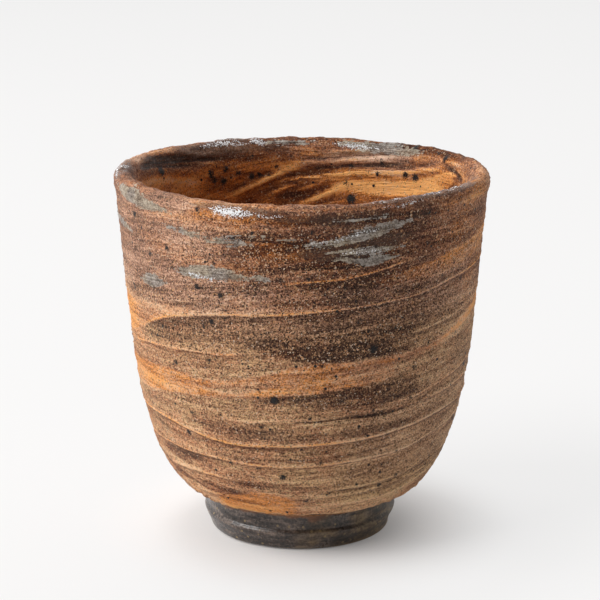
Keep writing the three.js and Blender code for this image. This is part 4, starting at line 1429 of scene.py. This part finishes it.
def with_quartz_sparkle_and_pits(tree, clay, colour):
    picked = summed(tree, clay.dust_pick, (clay.patchy, 0.24))
    pale_dust = eased(tree, picked, *QUARTZ_DUST)
    pale_sand = eased(tree, clay.sand_pick, *QUARTZ_SAND)
    # painted sparkle: pale grains stand for glassy grains catching the light, besides the real pale
    # quartz
    quartz_and_sparkle = maths(tree, "MULTIPLY", maths(tree, "MAXIMUM", pale_dust, pale_sand), clay.coarse)
    colour = painted(tree, quartz_and_sparkle, colour, colour_ramp(tree, clay.dust_tint, QUARTZ_AND_SPARKLE_COLOURS))
    lost = eased(tree, clay.sand_pick, *LOST_SAND)
    hole = maths(tree, "MULTIPLY", lost, eased(tree, clay.sand_way, *PIT_WIDTH))
    clay.pit = maths(tree, "MULTIPLY", hole, clay.coarse)
    # painted shade: each pit is painted dark for the shade inside it
    return painted(tree, clay.pit, colour, PAINTED_PIT_SHADE)


def with_iron(tree, clay, colour):
    _, _, own, way = grains(tree, clay.place, FLECKS_PER_METRE)
    fleck = maths(tree, "SUBTRACT", eased(tree, own, *FLECK_SIZES), way)
    blot = summed(tree, from_vertices(tree, "iron"), (clay.grain, 2.6), (clay.dust, 0.5))
    blot = eased(tree, maths(tree, "SUBTRACT", blot, BLOT_MIDDLE), *BLOT_EDGE)
    clay.black = maths(tree, "MAXIMUM", eased(tree, fleck, *FLECK_EDGE), blot)
    return painted(tree, clay.black, colour, IRON_COLOUR)


print(f"iron flecks about {1 / FLECKS_PER_METRE / MM:.1f} mm apart")

# %% [markdown]
# ## The clay's shader: glass and ash
# Thin glass darkens the clay and makes it shine. The foot's dark wash ran a little way onto the body's
# lower edge and looks the same. Thick ash is a milky crust, grey here and cream there, with edges that
# follow the streaks, and white specks on it are painted glints.

# %% Glass, ash and crystals
GLOSS_COLOUR = (0.045, 0.020, 0.009, 1.0)
ASH_COLOURS = [(0.25, (0.06, 0.045, 0.036)), (0.5, (0.22, 0.185, 0.155)), (0.75, (0.50, 0.46, 0.41))]
CREAM_COLOURS = [(0.25, (0.07, 0.045, 0.028)), (0.5, (0.25, 0.195, 0.14)), (0.75, (0.54, 0.47, 0.36))]
PAINTED_GLINT_COLOUR = (0.86, 0.86, 0.87, 1.0)
SPLASH_RAGGED = 6.0
SPLASH_EDGE = (-7.4, -6.4)
CLEAR_MIDDLE = 1.7
CLEAR_EDGE = (-0.3, 0.5)
CLEAR_DEPTH = 0.6
CRUST_MIDDLE = 2.1
CRUST_EDGE = (-0.05, 0.1)
CRUST_DEPTH = 0.9
MILK_MIDDLE = 0.35
CREAM_PATCHES = (0.42, 0.58)
GLINT_MIDDLE = 1.9
GLINT_EDGE = (0.0, 0.3)


def with_glass(tree, clay, colour):
    ragged_rim = maths(tree, "MULTIPLY", clay.patchy, SPLASH_RAGGED)
    splash = summed(tree, ragged_rim, (clay.split["Z"], -1 / MM), (clay.grain, 1.5))
    colour = painted(tree, eased(tree, splash, *SPLASH_EDGE), colour, GLOSS_COLOUR)
    clear = summed(tree, from_vertices(tree, "gloss"), (clay.thin, 2.4), (clay.grain, 1.0))
    clay.clear = eased(tree, maths(tree, "SUBTRACT", clear, CLEAR_MIDDLE), *CLEAR_EDGE)
    return painted(tree, maths(tree, "MULTIPLY", clay.clear, CLEAR_DEPTH), colour, GLOSS_COLOUR)


def with_ash_and_glints(tree, clay, colour):
    tears = (clay.strand, 2.0), (clay.lump, 2.0), (clay.dust, 0.3)
    torn = summed(tree, from_vertices(tree, "ash"), *tears)
    clay.crust = eased(tree, maths(tree, "SUBTRACT", torn, CRUST_MIDDLE), *CRUST_EDGE)
    milk = summed(tree, -MILK_MIDDLE, (clay.dust, 0.3), (clay.strand, 0.8), (clay.lump, 0.7))
    cream = eased(tree, clay.patchy, *CREAM_PATCHES)
    grey_ash = colour_ramp(tree, milk, ASH_COLOURS)
    ash_colour = painted(tree, cream, grey_ash, colour_ramp(tree, milk, CREAM_COLOURS))
    colour = painted(tree, maths(tree, "MULTIPLY", clay.crust, CRUST_DEPTH), colour, ash_colour)
    # painted glints: white specks painted where the glass would catch the light
    white = summed(tree, from_vertices(tree, "crystal"), (clay.dust, 1.4), (clay.hair, 1.6))
    white = eased(tree, maths(tree, "SUBTRACT", white, GLINT_MIDDLE), *GLINT_EDGE)
    return painted(tree, white, colour, PAINTED_GLINT_COLOUR)


print("layers of glass, ash and crystal ready")

# %% [markdown]
# ## The clay's shader: shine and bumps
# Bare sandy clay is dull, and glass and iron shine. The bumps are only what is too fine for the mesh: the
# grains, the hair streaks and the edges of the ridges. Then the layers go on in the order of the kiln:
# clay, quartz with its painted sparkle and painted pit shade, iron, glass, and ash with its painted
# glints.

# %% The whole clay shader
CLAY_SHINE = 0.25
CLAY_BUMPS = 0.0005
CLAY_LAYERS = (with_quartz_sparkle_and_pits, with_iron, with_glass, with_ash_and_glints)


def clay_shader(name):
    material, tree, shader = new_material(name)
    clay = clay_textures(tree)
    ridge_lines(tree, clay)
    colour = clay_colour(tree, clay)
    for layer in CLAY_LAYERS:
        colour = layer(tree, clay, colour)
    matt = (clay.coarse, 0.3), (clay.grain, 0.25)
    shiny = (clay.crust, -0.3), (clay.clear, -0.45), (clay.black, -0.35)
    rough = summed(tree, 0.3, *matt, *shiny)
    rubble = summed(tree, 0.0, (clay.dust, 0.2), (clay.sand, 0.36))
    fine = (clay.grain, 0.9), (clay.thin, 0.8), (clay.hair, 0.4), (rubble, clay.coarse)
    lines = (clay.thread, 0.25), (clay.ridge, 0.4), (clay.pit, -0.6)
    bumps = summed(tree, 0.0, *fine, *lines)
    strength = summed(tree, 1.0, (clay.clear, -0.3))
    normal = bumped(tree, bumps, strength, CLAY_BUMPS)
    plug(tree, shader, {"Base Color": colour, "Roughness": rough, "Normal": normal})
    plug(tree, shader, {"Specular IOR Level": CLAY_SHINE})
    return material


fired_clay = clay_shader("fired_clay")
print(f"clay shader of {len(fired_clay.node_tree.nodes)} nodes")

# %% [markdown]
# ## The thrown body
# Wall, lip and floor came off the wheel as one lump, so they are one mesh: the outline, spun round, moved
# by the relief, and with the fields stored on its points.

# %% Make the cup's body
fields = {"level": level, "count": count, "crest": crest, "tone": tone, "warmth": warmth, "blush": blush}
fields |= {"coarse": coarse, "ash": ash, "gloss": gloss, "crystal": crystal, "iron": iron}
body = spun_mesh("thrown_body", outline, relief, lift, fields, poles=True)
body.data.materials.append(fired_clay)
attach(body, "root")
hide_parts("cup_body")
print(f"body of {len(body.data.polygons)} faces")

# %% [markdown]
# ## The foot ring
# The ring was turned from clay, with a ledge half way up where the tool stopped, and it was luted on a
# little to the left. It is made the same way as the body, from its own closed outline, with a worn edge
# where it stands on the table. The ledge and the shift are relief, so the ring's seat stays where it is.

# %% The foot ring's outline and relief
FOOT_EDGE = 0.7
NECK_INSET = 0.6
FLARE_MIDDLE = (FOOT_BASE_RADIUS + FOOT_TOP_RADIUS) / 2 + 1.2
FOOT_SWELL = Marks(0.12, 9, 2.5, 51)
FOOT_DRAG = Marks(0.07, 40, 1.4, 52)
LEDGE_HEIGHT = 5.0
LEDGE_DEPTH = 0.75
LEDGE_WANDER = 0.4
LEDGE_SLOPE = (-0.3, 0.5)
LEDGE_STANDS = 0.35
TURNED_HOLLOW = 0.15
HOLLOW_HEIGHT = 2.6
HOLLOW_WIDTH = 1.0
FOOT_SHIFT = 0.6
SHIFT_FADES = (5.0, 7.5)
FOOT_STANDS = (0.0, 0.9)
NECK_HOLD = (8.2, 9.0)
ROW_MARGIN = 0.05


def foot_outline():
    outer_low = (FOOT_BASE_RADIUS, FOOT_EDGE)
    outer_top = (FOOT_TOP_RADIUS - NECK_INSET, FOOT_HEIGHT)
    edge = bezier((FOOT_BASE_RADIUS - FOOT_EDGE, 0), (FOOT_BASE_RADIUS - 0.1, 0), outer_low)
    flare = bezier(outer_low, (FLARE_MIDDLE, FOOT_HEIGHT / 2), outer_top)
    top = np.array([outer_top, (FOOT_BORE, FOOT_HEIGHT)])
    bore = np.array([(FOOT_BORE, FOOT_HEIGHT), (FOOT_BORE, FOOT_EDGE)])
    inner_edge = bezier((FOOT_BORE, FOOT_EDGE), (FOOT_BORE, 0), (FOOT_BORE + FOOT_EDGE, 0))
    rest = np.array([(FOOT_BORE + FOOT_EDGE, 0), (FOOT_BASE_RADIUS - FOOT_EDGE, 0)])
    spaced = [(edge, 0.25), (flare, 0.25), (top, 1.6), (bore, 0.9), (inner_edge, 0.35), (rest, 0.9)]
    return np.vstack([even_rows(path, spacing)[1:] for path, spacing in spaced])


foot_rows = foot_outline()
foot_height = np.repeat(foot_rows[:, 1:], COLUMNS, axis=1)
on_flare = foot_rows[:, :1] > FOOT_BASE_RADIUS - ROW_MARGIN
on_flare &= foot_rows[:, 1:] < FOOT_HEIGHT - ROW_MARGIN
foot_relief = marked(foot_height, FOOT_SWELL) + marked(foot_height, FOOT_DRAG)
ledge_at = foot_height - LEDGE_HEIGHT + LEDGE_WANDER * drift_around(foot_height, 7, 53)
foot_relief += LEDGE_STANDS - LEDGE_DEPTH * ease(ledge_at, *LEDGE_SLOPE)
foot_relief -= TURNED_HOLLOW * hump(foot_height, HOLLOW_HEIGHT, HOLLOW_WIDTH)
rightwards = np.sin(angles)
shifted = np.where(rightwards > 0, 1.0, 1 - ease(foot_height, *SHIFT_FADES))
foot_relief -= FOOT_SHIFT * rightwards * shifted
foot_relief = foot_relief * ease(foot_height, *FOOT_STANDS)
foot_relief = foot_relief * on_flare * (1 - ease(foot_height, *NECK_HOLD))
print(f"foot ring of {len(foot_rows)} rows, relief {foot_relief.min():.2f} to {foot_relief.max():.2f} mm")

# %% [markdown]
# ## The foot's dark wash
# The foot was dipped in a wash that came out of the kiln nearly black with a soft shine, browner on the
# right where the fire reached it. Streaked noise gives the brush's drag, a few cells give pale specks
# of sand, and orange slip from the joint is smeared over the neck on the left. The resting edge is worn.

# %% The foot ring and its shader
WASH_COLOURS = [
    (0.34, (0.013, 0.010, 0.008)), (0.5, (0.062, 0.046, 0.039)), (0.66, (0.19, 0.145, 0.118)),
]
OLIVE_COLOURS = [
    (0.36, (0.018, 0.011, 0.005)), (0.5, (0.078, 0.050, 0.025)), (0.66, (0.21, 0.145, 0.075)),
]
SPECK_COLOUR = (0.30, 0.21, 0.10, 1.0)
WORN_COLOUR = (0.30, 0.20, 0.12, 1.0)
SMEAR_COLOUR = (0.26, 0.09, 0.025, 1.0)
BRUSH_DRAG = (0.22, 0.22, 1.0)
OLIVE_SIDE = (0.02, 0.045)
SPECKS_PER_METRE = 800.0
SPECKS_PICKED = (0.86, 0.88)
SPECK_SIZE = (0.18, 0.34, 1.0, 0.0)
SPECK_DEPTH = 0.7
SMEAR_HEIGHT = (0.0116, 0.0124)
SMEAR_SIDE = (0.0, 0.009, 1.0, 0.0)
SMEAR_DEPTH = 0.6
WORN_HEIGHT = (0.0008, 0.0013, 0.75, 0.0)
WASH_SHINE = 0.5
WASH_BUMPS = 0.0004


def wash_shader(name):
    material, tree, shader = new_material(name)
    place = from_object(tree)
    split = node(tree, "ShaderNodeSeparateXYZ", {0: place}).outputs
    dragged = node(tree, "ShaderNodeMapping", {"Vector": place, "Scale": BRUSH_DRAG}).outputs[0]
    streak = noise(tree, dragged, 700.0, 4.0, 0.6)
    grain = noise(tree, place, 1500.0, 3.0, 0.65)
    patchy = noise(tree, place, 160.0, 2.0)
    shade = summed(tree, -0.25, (grain, 0.6), (streak, 0.9))
    olive = eased(tree, summed(tree, split["X"], (patchy, 0.05)), *OLIVE_SIDE)
    black_wash = colour_ramp(tree, shade, WASH_COLOURS)
    colour = painted(tree, olive, black_wash, colour_ramp(tree, shade, OLIVE_COLOURS))
    _, _, pick, way = grains(tree, place, SPECKS_PER_METRE)
    speck = maths(tree, "MULTIPLY", eased(tree, pick, *SPECKS_PICKED), eased(tree, way, *SPECK_SIZE))
    colour = painted(tree, maths(tree, "MULTIPLY", speck, SPECK_DEPTH), colour, SPECK_COLOUR)
    smear = summed(tree, split["Z"], (patchy, 0.006), (grain, 0.0015))
    smear = eased(tree, smear, *SMEAR_HEIGHT)
    smear = maths(tree, "MULTIPLY", smear, eased(tree, split["X"], *SMEAR_SIDE))
    colour = painted(tree, maths(tree, "MULTIPLY", smear, SMEAR_DEPTH), colour, SMEAR_COLOUR)
    worn = eased(tree, summed(tree, split["Z"], (grain, 0.0012)), *WORN_HEIGHT)
    colour = painted(tree, worn, colour, WORN_COLOUR)
    rough = summed(tree, 0.08, (olive, 0.32), (grain, 0.3))
    bumps = summed(tree, 0.0, (grain, 0.5), (streak, 0.7))
    normal = bumped(tree, bumps, 0.6, WASH_BUMPS)
    plug(tree, shader, {"Base Color": colour, "Roughness": rough, "Normal": normal})
    plug(tree, shader, {"Specular IOR Level": WASH_SHINE})
    return material


level_seat = np.zeros_like(foot_height)
foot = spun_mesh("turned_foot", foot_rows, foot_relief, level_seat, {"level": foot_height}, poles=False)
foot.data.materials.append(wash_shader("dark_wash"))
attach(foot, "root")
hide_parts("foot_ring")
print(f"foot of {len(foot.data.polygons)} faces")

# %% [markdown]
# ## The luting slip
# Runny clay glued the ring to the bowl. It shows as a thin orange bead in the joint, thicker where it
# was squeezed out. A plain ring with a rounded outer face is enough, pushed in and out by noise that only
# changes round the cup.

# %% The slip's bead
BEAD_BULGE = 0.5
BEAD_UNEVEN = 0.12
BEAD_LUMPS = 48
slip_low, slip_high = (np.array(corner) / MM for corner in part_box("luting_slip"))


def slip_outline():
    low = (FOOT_TOP_RADIUS, slip_low[2])
    high = (FOOT_TOP_RADIUS, slip_high[2])
    middle = (FOOT_TOP_RADIUS + BEAD_BULGE, (slip_low[2] + slip_high[2]) / 2)
    bead = bezier(low, middle, high)
    top = np.array([high, (FOOT_BORE, slip_high[2])])
    back = np.array([(FOOT_BORE, slip_high[2]), (FOOT_BORE, slip_low[2])])
    under = np.array([(FOOT_BORE, slip_low[2]), low])
    spaced = [(bead, 0.09), (top, 1.6), (back, 0.25), (under, 1.6)]
    return np.vstack([even_rows(path, spacing)[1:] for path, spacing in spaced])


slip_rows = slip_outline()
slip_height = np.repeat(slip_rows[:, 1:], COLUMNS, axis=1)
on_bead = slip_rows[:, :1] > FOOT_TOP_RADIUS + ROW_MARGIN
slip_relief = BEAD_UNEVEN * drift_around(slip_height, BEAD_LUMPS, 61, step=10) * on_bead
print(f"slip bead of {len(slip_rows)} rows, {slip_high[2] - slip_low[2]:.2f} mm thick")

# %% [markdown]
# ## The slip's finish
# The slip is fine clay without sand, so one grain of noise is enough for its colour and its small bumps.

# %% The slip and its shader
SLIP_COLOURS = [(0.3, (0.12, 0.05, 0.02)), (0.7, (0.42, 0.19, 0.07))]
SLIP_ROUGHNESS = 0.85
SLIP_BUMPS = 0.0003


def slip_shader(name):
    material, tree, shader = new_material(name)
    grain = noise(tree, from_object(tree), 1200.0, 3.0, 0.6)
    colour = colour_ramp(tree, grain, SLIP_COLOURS)
    normal = bumped(tree, grain, 0.6, SLIP_BUMPS)
    plug(tree, shader, {"Base Color": colour, "Roughness": SLIP_ROUGHNESS, "Normal": normal})
    return material


level_bead = np.zeros_like(slip_height)
slip = spun_mesh("slip_bead", slip_rows, slip_relief, level_bead, {"level": slip_height}, poles=False)
slip.data.materials.append(slip_shader("orange_slip"))
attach(slip, "root")
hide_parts("luting_slip")
print(f"slip of {len(slip.data.polygons)} faces")
